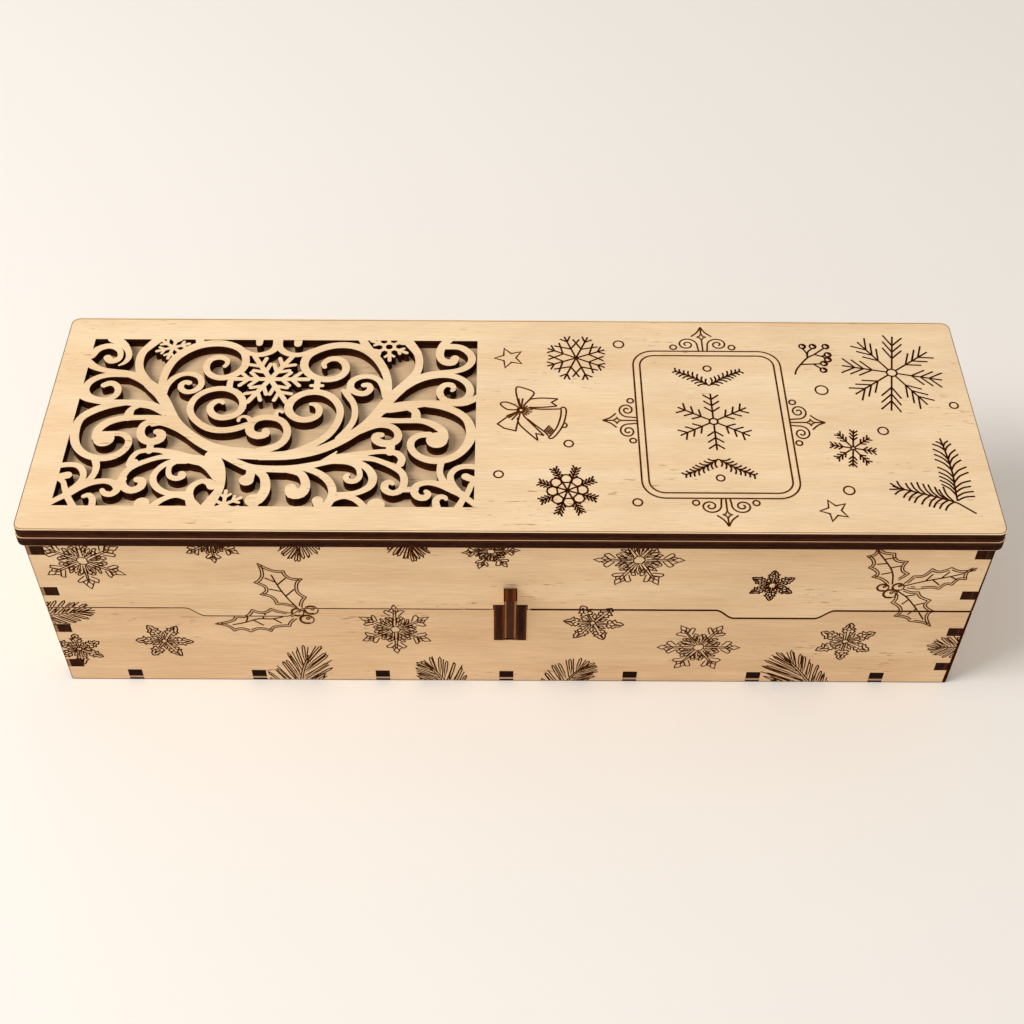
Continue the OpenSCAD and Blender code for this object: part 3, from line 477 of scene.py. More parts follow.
lid_arms = 8
big_arm = [[(2.0, 0), (21.3, 0)]] + barbs(8.3, 15.8, 3, 6.9, 37)
big_middle = (147.7, 26.7)
lid_dark += [arc(big_middle, 2.0)] + starred(big_arm, big_middle, (0.9, 1.0), lid_arms, 79.3)
star_arm = [[(0, 0), (12.6, 0)]] + barbs(9.5, 9.5, 1, 3.3, 42)
star_cross = both([(5.1, 2.1), (8.6, 0), (10.8, -1.3)])
star_middle = (25.3, 34.2)
lid_dark += starred(star_arm, star_middle, (0.96, 1.05), lid_arms, 21)
lid_dark += starred(star_cross, star_middle, 1.0, lid_arms, 43.5)
fir_arm = [[(0, 0), (12.4, 0)]] + barbs(6.2, 10.6, 4, 2.7, 42)
fir_middle = (20.3, -36.0)
lid_dark += starred(fir_arm, fir_middle, (0.9, 1.0), lid_arms, 26)
small_arm = [[(0.8, 0), (9.0, 0)]] + barbs(3.9, 7.3, 3, 2.4, 42)
small_middle = (126.6, -14.1)
lid_fine = [arc(small_middle, 0.8, steps=10)]
lid_fine += starred(small_arm, small_middle, (0.94, 1.06), lid_arms, 80)
petal = [
    smooth([(4.0, -1.3), (5.4, -2.1), (7.1, -1.5), (7.8, 0), (7.1, 1.5), (5.4, 2.1),
            (4.0, 1.3)], 4),
    [(3.9, -1.6), (3.9, 1.6)],
]
lid_fine += starred(petal, fir_middle, (0.95, 1.0), lid_arms, 48.5)


# Fir sprig at the right end of the lid: an upright and a lying twig on one stem, with bowed needles
# on both sides, burnt dark. Roots and tips of the needles are given for each side of a twig.


def needles(spine, axis, roots, tips, bow):
    """Needles from the spine, where its coordinate on the axis equals the root, to the tips.

    Each bows sideways by a part of its length at its middle.
    """
    order = np.argsort(spine[:, axis])
    out = []
    for root, tip in zip(roots, np.asarray(tips, float)):
        foot = np.array([np.interp(root, spine[order, axis], spine[order, k]) for k in (0, 1)])
        reach = tip - foot
        middle = (foot + tip) / 2 + bow * np.array([-reach[1], reach[0]])
        out.append(smooth([foot, middle, tip], 4))
    return out


upright_twig = smooth([(160.2, -40.2), (160.5, -34), (161, -26), (160.5, -16), (159.7, -8.7)])
lying_twig = smooth([(159.4, -40.8), (153, -38.3), (146, -36), (140, -34), (138, -33)])
lid_dark += [[(165.8, -46.2), (160.4, -41.4), (158.8, -40.5)], upright_twig, lying_twig]
lid_dark += needles(
    upright_twig, 1, (-12.5, -15, -19.5, -22, -25, -28.5, -31, -33, -35, -37.5),
    ((157.8, -10.4), (156.3, -11.8), (156, -14.3), (156, -17), (155.8, -19.5), (156, -23.5),
     (156, -26), (155.8, -28), (155.7, -30), (156, -32)), -0.1)
lid_dark += needles(
    upright_twig, 1, (-13, -15.5, -19.7, -22, -25, -28.3, -31.3, -34, -36, -38.2, -40),
    ((162.5, -10), (163.4, -11.5), (164.5, -14.5), (165, -17), (165.5, -19.8), (166.8, -23.3),
     (167, -26), (167, -30.2), (166.5, -33), (167, -35.5), (167, -37.9)), 0.1)
lid_dark += needles(
    lying_twig, 0, (142, 145, 147.5, 149.5, 152, 154, 156, 157.5, 159),
    ((140, -30.5), (143, -31.5), (145, -31.2), (147.2, -31), (149.2, -31.8), (151, -32.2),
     (153.2, -33.3), (154.5, -34.5), (156.3, -33.2)), 0.1)
lid_dark += needles(
    lying_twig, 0, (142, 144.3, 146.4, 148.6, 151, 153, 155, 157, 159),
    ((138.2, -37.2), (141, -38.8), (142.7, -40.2), (144.5, -41.2), (147, -42), (149.5, -43),
     (151, -43.5), (153, -44), (155, -44.8)), -0.1)
lid_dark += needles(lying_twig, 0, (140.5, 140.8), ((137.4, -31.6), (136.6, -34.6)), 0.05)


# Bell with a bow on the lid, burnt in light lines: two loops and two tails of ribbon round a knot,
# and behind them the bell with its rim, its clapper and a few lines of shade.
knot = (3.7, 5.0)
lid_light += [
    smooth([(3.2, 7.0), (2.2, 12.0), (1.8, 16.2), (2.6, 17.7), (6.0, 16.5), (8.7, 14.5),
            (7.2, 11.2), (4.6, 7.4)]),
    smooth([(2.6, 5.2), (-1.2, 5.3), (-3.6, 7.3), (-3.9, 8.9), (-1.8, 9.3), (1.4, 7.7),
            (3.2, 5.9)]),
    [(2.8, 4.2), (-1.5, 1.4), (-5.2, -2.4), (-2.6, -4.7), (1.7, -6.0), (2.3, -2.0), (3.4, 3.6)],
    smooth([(6.2, 9.6), (7.6, 11.0), (11.5, 11.6), (17.8, 11.2)], 4),
    [(17.8, 11.2), (15.3, 9.3), (17.3, 7.3)],
    smooth([(17.3, 7.3), (12.0, 6.6), (6.8, 6.5)], 4),
    smooth([(2.4, 1.0), (2.9, -2.2), (5.6, -6.0), (9.9, -11.0)], 4),
    [(9.9, -11.0), (9.2, -7.3), (12.2, -8.4)],
    smooth([(12.2, -8.4), (8.4, -3.2), (5.2, 1.2), (4.3, 3.2)], 4),
    smooth([(6.6, 6.2), (10.5, 5.6), (15.0, 5.6), (18.7, 5.8)], 4),
    smooth([(18.7, 5.8), (19.4, 6.7), (20.4, 6.3), (20.8, 4.3), (19.9, -1.2), (18.3, -5.4),
            (15.9, -9.2), (14.4, -9.9), (13.8, -9.0)], 4),
    smooth([(18.9, 5.6), (18.6, 1.6), (17.0, -4.2), (14.2, -9.0)], 4),
    smooth([(5.8, 0.6), (9.0, -2.9), (12.4, -6.4), (13.9, -8.6)], 4),
    arc((19.7, -2.9), 1.2, -140, 80, 12),
    arc(knot, 0.9, steps=12),
    arc(knot, 1.5, steps=14),
]
for a in np.arange(-72, 70, 20.0):
    lid_light.append(turned([(1.7, 0), (3.8 + 0.5 * np.sin(a), 0)], a, (3.9, 4.8)))
for a in (98, 84, 210, 222, 236):
    lid_light.append(turned([(1.8, 0), (6.4, 0)], a, knot))
for k in range(4):
    lid_light.append([(12.4 + 0.55 * k, -5.9 - 0.6 * k), (14.3 + 0.5 * k, -3.0 - 0.7 * k)])


# Frame on the lid, burnt in light lines: two rounded rectangles, one inside the other, with the
# same crest of two spirals and a pointed tip on all four sides.


def rounded(low, high, radius):
    """Closed outline of a rectangle: a quarter circle at each corner, joined by straight lines."""
    middle = (low + high) / 2
    parts = []
    for x, y, start in ((high[0], high[1], 0), (low[0], high[1], 90), (low[0], low[1], 180),
                        (high[0], low[1], 270)):
        centre = (x - radius * np.sign(x - middle[0]), y - radius * np.sign(y - middle[1]))
        parts.append(arc(centre, radius, start, start + 90, 8))
    outline = np.vstack(parts)
    return np.vstack([outline, outline[:1]])


def volute(radius, turns=1.7):
    """Spiral that starts at the frame and rolls inwards round (6.1, 4).

    Its radius shrinks with the power 0.85 of the way, to 0.14 of the first.
    """
    t = np.linspace(0, 1, 40)
    a = np.radians(180 - 360 * turns * t)
    r = radius * (1 - 0.86 * t**0.85)
    roll = np.column_stack([6.1 + r * np.cos(a) * 1.1, 4.0 + r * np.sin(a)])
    return np.vstack([smooth([(1.6, 0), (1.9, 2.2), tuple(roll[0])], 4)[:-1], roll])


crest = [
    [(0, 0.2), (0, 6.4)], [(0, 9.8), (0, 13.6)],
    smooth([(-4.1, 8.6), (-1.6, 11.0), (0, 14.2)], 5),
    smooth([(4.1, 8.6), (1.6, 11.0), (0, 14.2)], 5),
    [(0, 6.4), (0.6, 7.8), (1.7, 8.3), (0.6, 8.9), (0, 10.2), (-0.6, 8.9), (-1.7, 8.3),
     (-0.6, 7.8), (0, 6.4)],
    volute(3.7), volute(3.7) * (-1, 1),
    arc((11.5, 2.3), 1.3, steps=14), arc((-11.5, 2.3), 1.3, steps=14),
]
frame_low, frame_high = np.array((47.4, -39.5)), np.array((104.8, 38.4))
frame_step, outer_radius, inner_radius = 2.6, 8.2, 5.8
lid_light += [rounded(frame_low, frame_high, outer_radius),
              rounded(frame_low + frame_step, frame_high - frame_step, inner_radius)]
for turn, foot, scale in ((0, (75.3, frame_high[1]), 1.0), (180, (77.0, frame_low[1]), 0.94),
                          (90, (frame_low[0], -0.2), 0.92), (-90, (frame_high[0], -0.8), 0.94)):
    lid_light += [turned(s, turn, foot, scale) for s in crest]


# Inside the frame: a plain ornament, burnt dark, of a snowflake with six arms between two pairs
# of fir sprigs, each pair with a small light ring over it.


def fir_branch(spine, count, length, lean):
    """A spine with pairs of needles, each at the lean angle and bowed towards the tip.

    Their length falls by 0.45 of itself with the square of the way, and varies by a tenth.
    """
    bow, first, last, ahead = 0.16, 0.06, 0.96, 0.03
    curve = smooth(spine, 12)
    gaps = np.concatenate([[0], np.cumsum(np.linalg.norm(np.diff(curve, axis=0), axis=1))])
    out = [curve]
    for k, t in enumerate(np.linspace(first, last, count)):
        root, further = (np.array([np.interp(part * gaps[-1], gaps, curve[:, j]) for j in (0, 1)])
                         for part in (t, t + ahead))
        heading = np.degrees(np.arctan2(*(further - root)[::-1]))
        for side in (1, -1):
            reach = length * (1 - 0.45 * t**2) * (1 + 0.1 * np.sin(5 * k + side))
            needle = np.array([(0, 0), (0.5, -bow * side), (1.0, 0)]) * reach
            out.append(turned(smooth(needle, 3), heading + side * lean, root))
    return out


medal_arm = [[(1.6, 0), (15.0, 0)]] + barbs(5.2, 11.8, 3, 3.9, 50)
medal_x, medal_y = 76.1, -0.5
lid_dark += [arc((medal_x, medal_y), 1.6, steps=14)]
lid_dark += starred(medal_arm, (medal_x, medal_y), 1.0, 6, 90)
for way in (1, -1):
    tip = medal_y + way * 29.0
    root = medal_y + way * 19.5
    for lean in (-1, 1):
        spine = [(medal_x, root), (medal_x + lean * 6, root + way * 4.5),
                 (medal_x + lean * 12.5, tip - way * 1.5)]
        lid_dark += fir_branch(spine, 8, 3.6, 50)
    lid_light.append(arc((medal_x, tip), 1.5, steps=14))

rim_corner, rim_radius = np.array((175.05, 55.55)), 3.0
rim = rounded(-rim_corner, rim_corner, rim_radius)
everywhere = lambda x, y: np.ones(len(x), bool)
for name, strokes, width, shade, area in (
        ("lid_dark_drawing", lid_dark, 0.72, dark_line, lid_area),
        ("lid_fine_drawing", lid_fine, 0.68, dark_line, lid_area),
        ("lid_light_drawing", lid_light, 0.68, light_line, lid_area),
        ("lid_rim_line", [rim], 0.22, light_line, everywhere)):
    drawing(name, strokes, width, on_lid, shade, "lid", area)


# Snowflakes on the front: outlined ones, burnt after the box was glued up, so they run over the
# seam and are cut off by the edges of the wall. Six large ones have rods and petals, and five
# small ones have jagged arms. An arm is drawn for a snowflake of radius 1.


def rod(start, turn, length, half):
    """Outline of a small round-ended rod that branches off an arm at a point, open at its foot."""
    end = [(length + half * np.cos(a), half * np.sin(a))
           for a in np.radians((-90, -45, 0, 45, 90))]
    return turned([(0, -half)] + end + [(0, half)], turn, start)


def diamond(near, far, half):
    """Closed diamond along an arm, widest at its middle."""
    middle = (near + far) / 2
    return [(near, 0), (middle, half), (far, 0), (middle, -half), (near, 0)]


def flake(arm, petal, centre, radius, turn, hole):
    """Six arms, six petals between them, and a ring round the middle."""
    return (starred(arm, centre, radius, 6, turn) + starred(petal, centre, radius, 6, turn + 30)
            + [arc(centre, hole * radius, steps=12)])


def unsteady(strokes, sway):
    """Drawn by hand: each point moves by two added sine waves of its place, up to the sway.

    The waves are 1 and 0.6 high, so their sum is divided by 1.6.
    """
    moved = []
    for p in (np.asarray(s, float) for s in strokes):
        x, z = p[:, 0], p[:, 1]
        aside = np.sin(1.9 * x + 2.3 * z) + 0.6 * np.sin(3.1 * z - 1.3 * x)
        up = np.sin(2.2 * x - 1.7 * z) + 0.6 * np.sin(2.9 * x + 1.1 * z)
        moved.append(p + sway / 1.6 * np.column_stack([aside, up]))
    return moved


large_arm = (
    both([(0.16, 0.03), (0.8, 0.03)]) + both(rod((0.36, 0.04), 46, 0.18, 0.042))
    + both(rod((0.6, 0.04), 48, 0.2, 0.058)) + both([(0.7, 0.05), (0.78, 0.13), (0.86, 0.07)])
    + [diamond(0.76, 1.02, 0.075)]
)
large_petal = (
    [diamond(0.14, 0.52, 0.08), [(0.2, 0), (0.4, 0)]] + both(rod((0.28, 0.06), 26, 0.16, 0.035))
)
jagged_arm = (
    both([(0.12, 0.04), (0.5, 0.04), (0.44, 0.13), (0.54, 0.21), (0.62, 0.15), (0.68, 0.23),
          (0.76, 0.12), (0.86, 0.12), (1.0, 0)])
    + both([(0.56, 0.03), (0.64, 0.1), (0.72, 0.03), (0.9, 0.0)])
)
jagged_petal = [diamond(0.2, 0.5, 0.07)]
front_lines, front_dark = [], []
for x, z, r, turn in ((-154.6, 73.3, 15.8, 30), (-107.0, 83.4, 10.6, 30), (-43.7, 33.3, 14.8, 30),
                      (-7.2, 79.6, 10.2, 4), (46.3, 75.2, 15.8, 0), (72.9, 22.7, 15.6, 0)):
    front_lines += flake(large_arm, large_petal, (x, z), r, turn, 0.13)
for x, z, r, turn in ((-166.8, 19.8, 9.8, 30), (-132.8, 25.3, 11.0, -2), (31.4, 37.8, 11.6, -6),
                      (129.0, 26.9, 11.9, 29)):
    front_dark += flake(jagged_arm, jagged_petal, (x, z), r, turn, 0.1)
bold_middle, bold_radius = (96.2, 61.0), 8.9
front_bold = starred(jagged_arm, bold_middle, bold_radius, 6, 30)
front_bold += starred(jagged_petal, bold_middle, bold_radius, 6, 0)
front_lines, front_dark = unsteady(front_lines, 0.33), unsteady(front_dark, 0.28)
front_bold = unsteady(front_bold, 0.2)


# Fir twigs on the front, burnt after the box was glued up and cut off by the edges of the wall.
# Each is a stem of two lines with a fan of looped needles, and its left and right edges are given.


def part_way(curve, part):
    """Point at a part of the length of a curve."""
    gaps = np.concatenate([[0], np.cumsum(np.linalg.norm(np.diff(curve, axis=0), axis=1))])
    return np.array([np.interp(part * gaps[-1], gaps, curve[:, k]) for k in (0, 1)])


def fir_fan(stem, left, right, count):
    """Fir twig: needles slant from the stem to the left and right edges of the twig.

    Looped needles and single ones take turns; the roots lie behind the tips, on the stem
    carried on past its foot, so that every needle leans towards the end of the twig.
    """
    stem_half, loop_half, past_foot, behind = (0.45, 0.1), 0.48, 0.3, 0.86
    spine = smooth(stem)
    out = [spine + stem_half, spine - stem_half]
    carried = np.vstack([spine[:1] + past_foot * (spine[:1] - spine[-1:]), spine])
    for edge in (smooth(left), smooth(right)):
        for number, t in enumerate(np.linspace(0, 1, int(1.5 * count))):
            root, tip = part_way(carried, behind * t), part_way(edge, t)
            longer, lean = 1 + 0.05 * np.sin(37 * t * count), 3 * np.sin(23 * t * count)
            reach = turned((tip - root) * longer, lean)
            tip = root + reach
            side = loop_half * np.array([-reach[1], reach[0]]) / np.linalg.norm(reach)
            loop = [root + 0.1 * reach, root + 0.5 * reach + side, tip - 0.09 * reach + side, tip,
                    tip - 0.09 * reach - side, root + 0.5 * reach - side, root + 0.1 * reach]
            out.append(np.array(loop if number % 2 else [root + 0.1 * reach, tip]))
    return out


front_fans = []
for stem, left, right, count in (
        (((-85, -10.5), (-82.7, -0.3), (-80.8, 8.3), (-77.8, 16.7)),
         ((-97.9, -3.3), (-93.3, 6.5), (-88.1, 12.5), (-84.7, 18.7), (-80.5, 22.2), (-78.3, 21.9)),
         ((-75.6, -7.5), (-73.1, 1.6), (-70.3, 10.9), (-70.9, 16.1), (-72.3, 21.2), (-75.2, 22.6)),
         13),
        (((-21.4, -9), (-25.9, -0.1), (-29.8, 6.8), (-32.9, 11.7)),
         ((-32.4, -5.9), (-35.2, 1.7), (-37.1, 5.8), (-36.4, 9.2), (-36.8, 12)),
         ((-15.8, -5.7), (-17.1, 3.7), (-19.4, 9.6), (-23.6, 13.3), (-28.4, 15.7), (-32.2, 14.6),
          (-35, 12.8)), 12),
        (((19.1, -6.5), (23.3, 0.9), (26.4, 6.2), (30.6, 10.6)),
         ((11.3, -4.6), (13.4, 3.6), (16.3, 9.8), (20.5, 12.9), (25.1, 15.4), (28.9, 14.5),
          (31.5, 13.3)),
         ((31.2, -3.8), (32.4, 2.5), (34.2, 6.9), (33.8, 10), (33.7, 12.1)), 11),
        (((123.9, -7.7), (118.3, 1), (113, 8.9), (107.4, 16.2)),
         ((104.9, -2), (102.9, 3.4), (99.6, 7.7), (100.4, 13), (101.6, 17.5), (105, 19.6)),
         ((127.9, -4), (124.2, 6.1), (118.3, 13.1), (113.9, 18), (109.6, 20.3), (107.2, 20)), 13),
        (((-73.3, 88.7), (-74.5, 86.4), (-76.4, 79.3)),
         ((-83.3, 83.5), (-82.9, 80), (-82.1, 77.1), (-79.6, 75), (-78, 74)),
         ((-66.8, 83.7), (-68.1, 80.1), (-71.1, 77), (-74, 75.3), (-76.8, 73.8)), 8),
        (((-37.9, 89), (-36.9, 85.8), (-35.6, 79.6)),
         ((-46.1, 83.3), (-43.3, 78.6), (-40.4, 76.7), (-37.8, 75.3), (-35.7, 74.1)),
         ((-29.7, 83.9), (-29.7, 78.3), (-31.8, 76.3), (-33.2, 74.9), (-34.6, 74.3)), 8),
        (((-177.2, 40.5), (-170.6, 41.6), (-158.5, 44.1)),
         ((-177.4, 48.3), (-172.9, 49.7), (-168.3, 49.7), (-161.9, 49.2), (-157.8, 47.5),
          (-155.5, 44.6)),
         ((-176.6, 34.7), (-170.2, 35.8), (-164.5, 36.6), (-160.1, 39.1), (-157.1, 41.2),
          (-155.8, 43)), 10),
        (((176.2, 24), (170.2, 23.5), (164, 23.7)),
         ((175.7, 28.2), (171.2, 30.1), (165.5, 29.6), (162.6, 26.6), (161.3, 24.9)),
         ((175.2, 14.9), (170.8, 16.6), (166.3, 17.9), (163.3, 20), (161.9, 22.4)), 8)):
    front_fans += fir_fan(stem, left, right, count)


# Two bunches of holly on the front, burnt in double lines, one at each end of the seam: leaves with
# spikes, and berries where they meet. A leaf is given as arcs between its spikes, first down its
# left side and then down its right one, then its rib, and then its veins.


def leaf(arcs):
    """Outline of a leaf, with a second line a little inside each of the arcs between its spikes."""
    inset, trimmed = 0.95, slice(2, -2)
    sides = [smooth(run) for run in arcs]
    middle = np.vstack(sides).mean(axis=0)
    out = []
    for run in sides:
        step = np.gradient(run, axis=0)
        across = np.column_stack([-step[:, 1], step[:, 0]])
        across /= np.linalg.norm(step, axis=1)[:, None]
        inwards = np.sign(np.sum(across * (middle - run), axis=1).mean())
        out += [run, (run + inset * inwards * across)[trimmed]]
    return out


holly_lines, holly_veins = [], []
for arcs, rib, veins in (
        (([(-91.7, 72.5), (-91, 67), (-92, 63.5), (-94.2, 61.3)],
          [(-94.2, 61.3), (-91, 59), (-90.6, 56.5), (-92.8, 54.2)],
          [(-92.8, 54.2), (-89.5, 53), (-88, 51), (-87.5, 48.3)],
          [(-87.5, 48.3), (-84, 48), (-80, 46.5)],
          [(-91.7, 72.5), (-88, 69.5), (-85, 68.2), (-82.4, 68.3)],
          [(-82.4, 68.3), (-82, 66), (-80, 64), (-76.2, 63.6)],
          [(-76.2, 63.6), (-78, 61), (-78.5, 57), (-77.5, 54.5), (-75.7, 53)],
          [(-75.7, 53), (-77.5, 49.5), (-78, 46.5)]),
         [(-79.8, 46.5), (-82.5, 51.5), (-85, 57.5), (-87.4, 65.8)],
         [[(-86.2, 61.5), (-90, 64)], [(-84.2, 56), (-89, 57.5)], [(-85.8, 60), (-82.3, 64)],
          [(-83.2, 53.5), (-79.8, 57.5)]]),
        (([(-112, 36.2), (-108, 37.5), (-105, 39), (-103.5, 41.5)],
          [(-103.5, 41.5), (-100.5, 41.3), (-98.5, 42.5), (-97, 45.3)],
          [(-97, 45.3), (-94, 43.8), (-91.6, 44.2), (-89.8, 46)],
          [(-89.8, 46), (-87, 44.5), (-82.5, 43)],
          [(-112, 36.2), (-109, 35.5), (-106.5, 33.8), (-105.2, 31.7)],
          [(-105.2, 31.7), (-102, 33), (-98.8, 31.2)],
          [(-98.8, 31.2), (-96, 33), (-93, 32.7), (-91, 31.5)],
          [(-91, 31.5), (-89.5, 34), (-86, 34.8), (-83.5, 34.8)],
          [(-83.5, 34.8), (-82.5, 37.5), (-80.5, 39.8)]),
         [(-105.3, 35.8), (-101, 37), (-95, 39.5), (-90, 39.5), (-85, 41), (-81.5, 41.3)],
         [[(-100, 37.3), (-98.8, 41)], [(-93.5, 39.5), (-92, 43)], [(-97, 38.6), (-93.5, 35.5)],
          [(-89.5, 39.6), (-86.5, 36.8)]]),
        (([(130.8, 83.5), (130.5, 79.5), (128, 78)],
          [(128, 78), (130, 76), (130.8, 73.5), (129.7, 71.5)],
          [(129.7, 71.5), (132, 70), (133.3, 68), (131.8, 66.3)],
          [(131.8, 66.3), (135, 65), (137, 63.5), (138.5, 61.5)],
          [(130.8, 83.5), (134, 80.5), (138, 79.8)],
          [(138, 79.8), (138.5, 77.5), (140, 75.8), (143.5, 75.3)],
          [(143.5, 75.3), (142.5, 72.5), (143, 70), (145.3, 68.3)],
          [(145.3, 68.3), (143.5, 66), (142, 64.5)]),
         [(131.2, 81), (134.5, 76.5), (138, 71), (139.5, 67), (140.2, 62)],
         [[(134.5, 76.3), (138.6, 77.3)], [(137.7, 71.5), (141.8, 72.8)],
          [(136, 74), (132.4, 73.5)], [(139, 69), (135, 67.8)]]),
        (([(169.3, 71.8), (166.5, 70.4), (163, 70.3), (160, 71.9)],
          [(160, 71.9), (156, 69.8), (153, 71.3)],
          [(153, 71.3), (150.5, 67.5), (147, 67)],
          [(147, 67), (146, 65), (144.5, 62.5)],
          [(169.3, 71.8), (166.5, 69), (166.7, 65)],
          [(166.7, 65), (164, 64.8), (162.3, 61.7)],
          [(162.3, 61.7), (160, 62), (158, 59.2)],
          [(158, 59.2), (155, 60), (150, 59.3)],
          [(150, 59.3), (146, 60)]),
         [(144.5, 61), (150, 63.3), (155, 65), (160, 66.5), (165, 68.5)],
         [[(152, 64), (154, 68)], [(157.5, 65.8), (159.8, 69.4)], [(154.5, 64.8), (157.5, 61.8)],
          [(160.5, 66.7), (163.5, 64.9)]]),
        (([(159.7, 36.8), (157.5, 42), (157.8, 45), (159.5, 45.8)],
          [(159.5, 45.8), (156.5, 48), (155.3, 50), (156.5, 52.8)],
          [(156.5, 52.8), (152.5, 55), (151, 57.8)],
          [(151, 57.8), (148, 57.8), (144.5, 59.5)],
          [(159.7, 36.8), (156, 38.8), (151, 39.8)],
          [(151, 39.8), (149, 42), (144.5, 43)],
          [(144.5, 43), (146, 45.5), (145, 48.5), (141.8, 51.2)],
          [(141.8, 51.2), (142.8, 53.5), (142.3, 57)]),
         [(143, 58), (147, 54.5), (150, 50.5), (153, 46), (156, 41)],
         [[(146.5, 55), (150, 56)], [(150.5, 49.5), (154.2, 51)], [(148, 53), (146, 50.2)],
          [(152, 47.5), (149.4, 44)]])):
    holly_lines += leaf(arcs)
    holly_veins += [smooth(rib, 5)] + veins
for x, z, r in ((-79.9, 43.7, 2.4), (-74.7, 45.0, 2.6), (-76.8, 39.3, 2.7), (137.1, 60.1, 2.2),
                (142.7, 60.5, 2.2), (140.4, 56.5, 2.6)):
    holly_lines += [arc((x, z), r), arc((x - 0.1, z), r * 0.8, 20, 300),
                    arc((x + 0.5, z + 0.6), r * 0.22, steps=8)]

# Lines on the front board: the drawings stop at the seam, which follows two shallow dips, so each
# half of the box carries its own part of them. Both halves also carry lines along their rims: four
# dark ones that spread apart downwards at the right end, and a thin lighter one at the left.
seam_at = 46.0
dip_depth = 4.8
dip_middle = 99.5
dip_half = 18.75
dip_slope = 7.0
seam_margin = 0.3
ground_margin = 0.35
edge_inset = 0.2
rim_top = 83.9


def seam_height(x):
    """Height of the seam: lowered over the dips, by the smooth step 3 u^2 - 2 u^3 at their ends."""
    u = np.clip((np.abs(np.abs(x) - dip_middle) - dip_half) / dip_slope + 0.5, 0, 1)
    return seam_at - dip_depth * (1 - u * u * (3 - 2 * u))


def on_front(flat, lift):
    """Places on the front: x and z from the flat drawing, and the lift in front of the wall."""
    return np.column_stack([flat[:, 0], np.full(len(flat), -half_depth - lift), flat[:, 1]])


def on_base(x, z):
    """Whether a place is on the front of the base."""
    return (np.abs(x) < half_width) & (z > ground_margin) & (z < seam_height(x) - seam_margin)


def on_lid_wall(x, z):
    """Whether a place is on the front of the lid."""
    return (np.abs(x) < half_width) & (z < board_low) & (z > seam_height(x) + seam_margin)


front_line = burnt_line("front_burnt_line", colour(42, 14, 0), colour(88, 40, 5))
holly_line = burnt_line("holly_burnt_line", colour(60, 26, 2), colour(106, 56, 10))
rim_x = half_width - edge_inset
right_rim = [[(rim_x, rim_top), (rim_x - 0.35 * k, edge_inset)] for k in range(4)]
left_rim = [[(0.15 - half_width, edge_inset), (0.15 - half_width, rim_top)]]
for part, body, area in (("base", "base", on_base), ("lid_front", "lid", on_lid_wall)):
    for word, strokes, width, shade in (
            ("drawing", front_lines, 0.47, front_line),
            ("dark_drawing", front_dark, 0.58, front_line),
            ("fir_drawing", front_fans, 0.48, front_line),
            ("holly", holly_lines, 0.52, holly_line),
            ("holly_veins", holly_veins, 0.62, front_line),
            ("right_rim", right_rim, 0.38, dark_line),
            ("left_rim", left_rim, 0.2, light_line)):
        drawing(f"{part}_{word}", strokes, width, on_front, shade, body, area)
drawing("lid_front_bold_drawing", front_bold, 0.66, on_front, dark_line, "lid", on_lid_wall)
bottom_rim = [[(-rim_x, 0.22), (rim_x, 0.22)]]
drawing("base_bottom_rim", bottom_rim, 0.3, on_front, light_line, "base", everywhere)
# Along the seam, a pale line left of the latch, with a short break near it, and a dark one right.
latch_half, pale_break = 6.8, -17.5
run = np.linspace(-rim_x, rim_x, 300)
pale_spans = [run[run < pale_break], run[(run > pale_break) & (run < -latch_half)]]
dark_spans = [run[run > latch_half]]
for part, body, side in (("base", "base", -1), ("lid_front", "lid", 1)):
    for word, spans, away, width, shade in (("pale", pale_spans, 0.17, 0.2, holly_line),
                                            ("dark", dark_spans, 0.34, 0.34, front_line)):
        rims = [np.column_stack([x, seam_height(x) + side * away]) for x in spans]
        drawing(f"{part}_{word}_seam_line", rims, width, on_front, shade, body, everywhere)

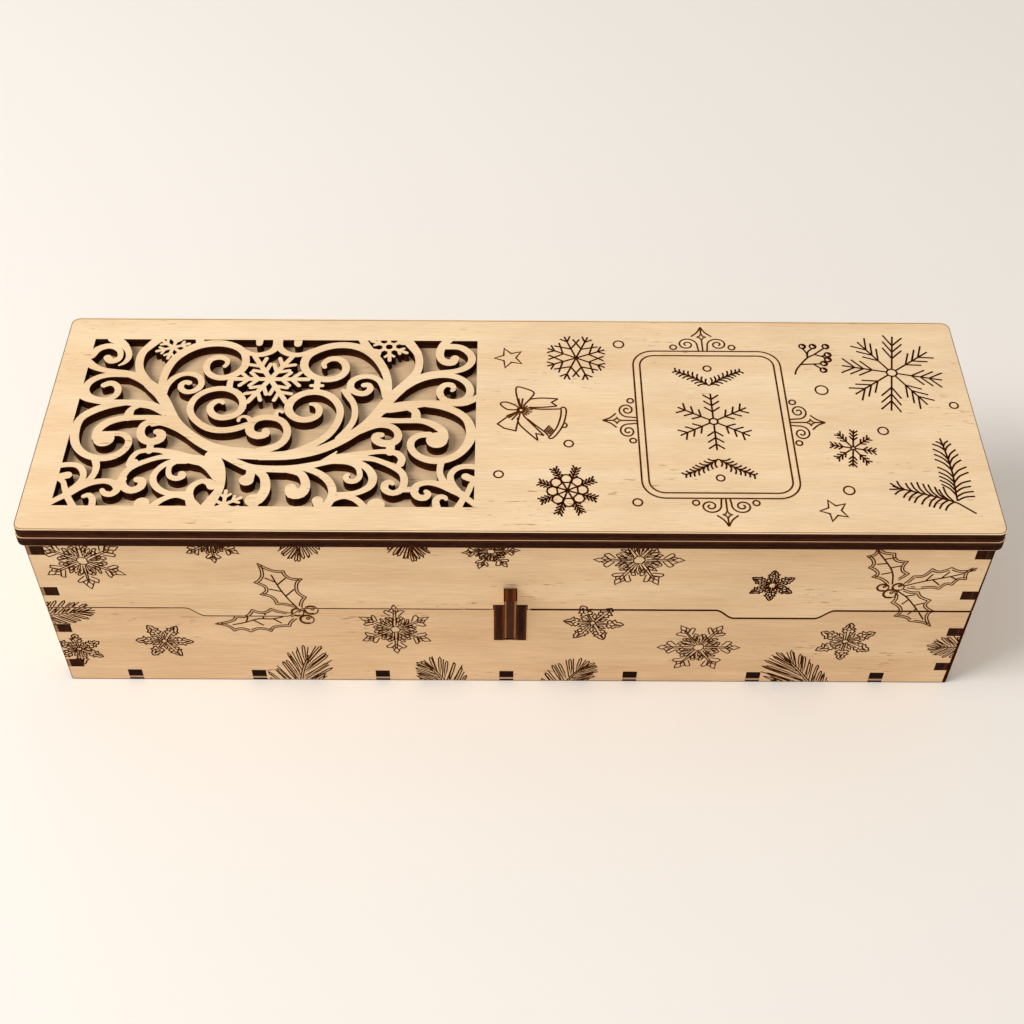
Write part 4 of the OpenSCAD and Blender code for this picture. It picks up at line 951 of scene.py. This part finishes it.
# Stand, light and camera: a pale cream sweep of paper that rises in a quarter circle behind the
# box, one large soft lamp at the upper left, and the camera of the photograph, solved from the
# box's own edges.
sweep = bpy.data.meshes.new("sweep")
sweep_half, sweep_front, bend_start, bend_radius, sweep_top = 6.0, -3.0, 2.2, 1.2, 4.0
bend = np.linspace(0.1, np.pi / 2, 12)
rise = np.vstack([
    [(sweep_front, 0.0), (bend_start, 0.0)],
    np.column_stack([bend_start + bend_radius * np.sin(bend),
                     bend_radius - bend_radius * np.cos(bend)]),
    [(bend_start + bend_radius, sweep_top)],
])
count = len(rise)
rows = np.vstack([np.column_stack([np.full(count, x), rise]) for x in (-sweep_half, sweep_half)])
k = np.arange(count - 1)
quads = np.column_stack([k, k + count, k + count + 1, k + 1])
sweep.from_pydata(rows, [], quads.tolist())
sweep.polygons.foreach_set("use_smooth", [True] * len(sweep.polygons))
floor = bpy.data.objects.new("floor_sweep", sweep)
bpy.context.scene.collection.objects.link(floor)
paper = bpy.data.materials.new("cream_paper")
paper.use_nodes = True
paper_shader = paper.node_tree.nodes["Principled BSDF"]
paper_shader.inputs["Base Color"].default_value = colour(248, 243, 236)
paper_shader.inputs["Roughness"].default_value = 0.9
paper_shader.inputs["Specular IOR Level"].default_value = 0.0
sweep.materials.append(paper)

daylight = (1.0, 0.985, 0.965)
world = bpy.data.worlds.new("studio")
world.use_nodes = True
background = world.node_tree.nodes["Background"]
background.inputs["Color"].default_value = (*daylight, 1.0)
background.inputs["Strength"].default_value = 0.56
bpy.context.scene.world = world

lamp_place, lamp_target = Vector((-1.3, -0.42, 1.45)), Vector((0, 0, 0.05))
light = bpy.data.lights.new("window_lamp", "AREA")
light.size = 0.9
light.energy = 25.0
light.color = daylight
lamp = bpy.data.objects.new("window_lamp", light)
lamp.location = lamp_place
lamp.rotation_euler = (lamp_target - lamp_place).to_track_quat("-Z", "Y").to_euler()
bpy.context.scene.collection.objects.link(lamp)

camera_place = np.array((-0.0025, -0.4020, 0.4928))
tilt, roll, yaw = np.radians((48.427, 0.626, 0.452))
forward = np.array((np.sin(yaw) * np.cos(tilt), np.cos(yaw) * np.cos(tilt), -np.sin(tilt)))
level = np.array((np.cos(yaw), -np.sin(yaw), 0.0))
above = np.cross(level, forward)
right = np.cos(roll) * level + np.sin(roll) * above
up = -np.sin(roll) * level + np.cos(roll) * above
camera_data = bpy.data.cameras.new("camera")
camera_data.sensor_width = 36.0
camera_data.lens = 52.98
camera_data.clip_start = 0.01
camera = bpy.data.objects.new("camera", camera_data)
turn = np.eye(4)
turn[:3, 0], turn[:3, 1], turn[:3, 2], turn[:3, 3] = right, up, -forward, camera_place
camera.matrix_world = Matrix(turn.tolist())
bpy.context.scene.collection.objects.link(camera)
bpy.context.scene.camera = camera
bpy.context.scene.view_settings.view_transform = "Standard"
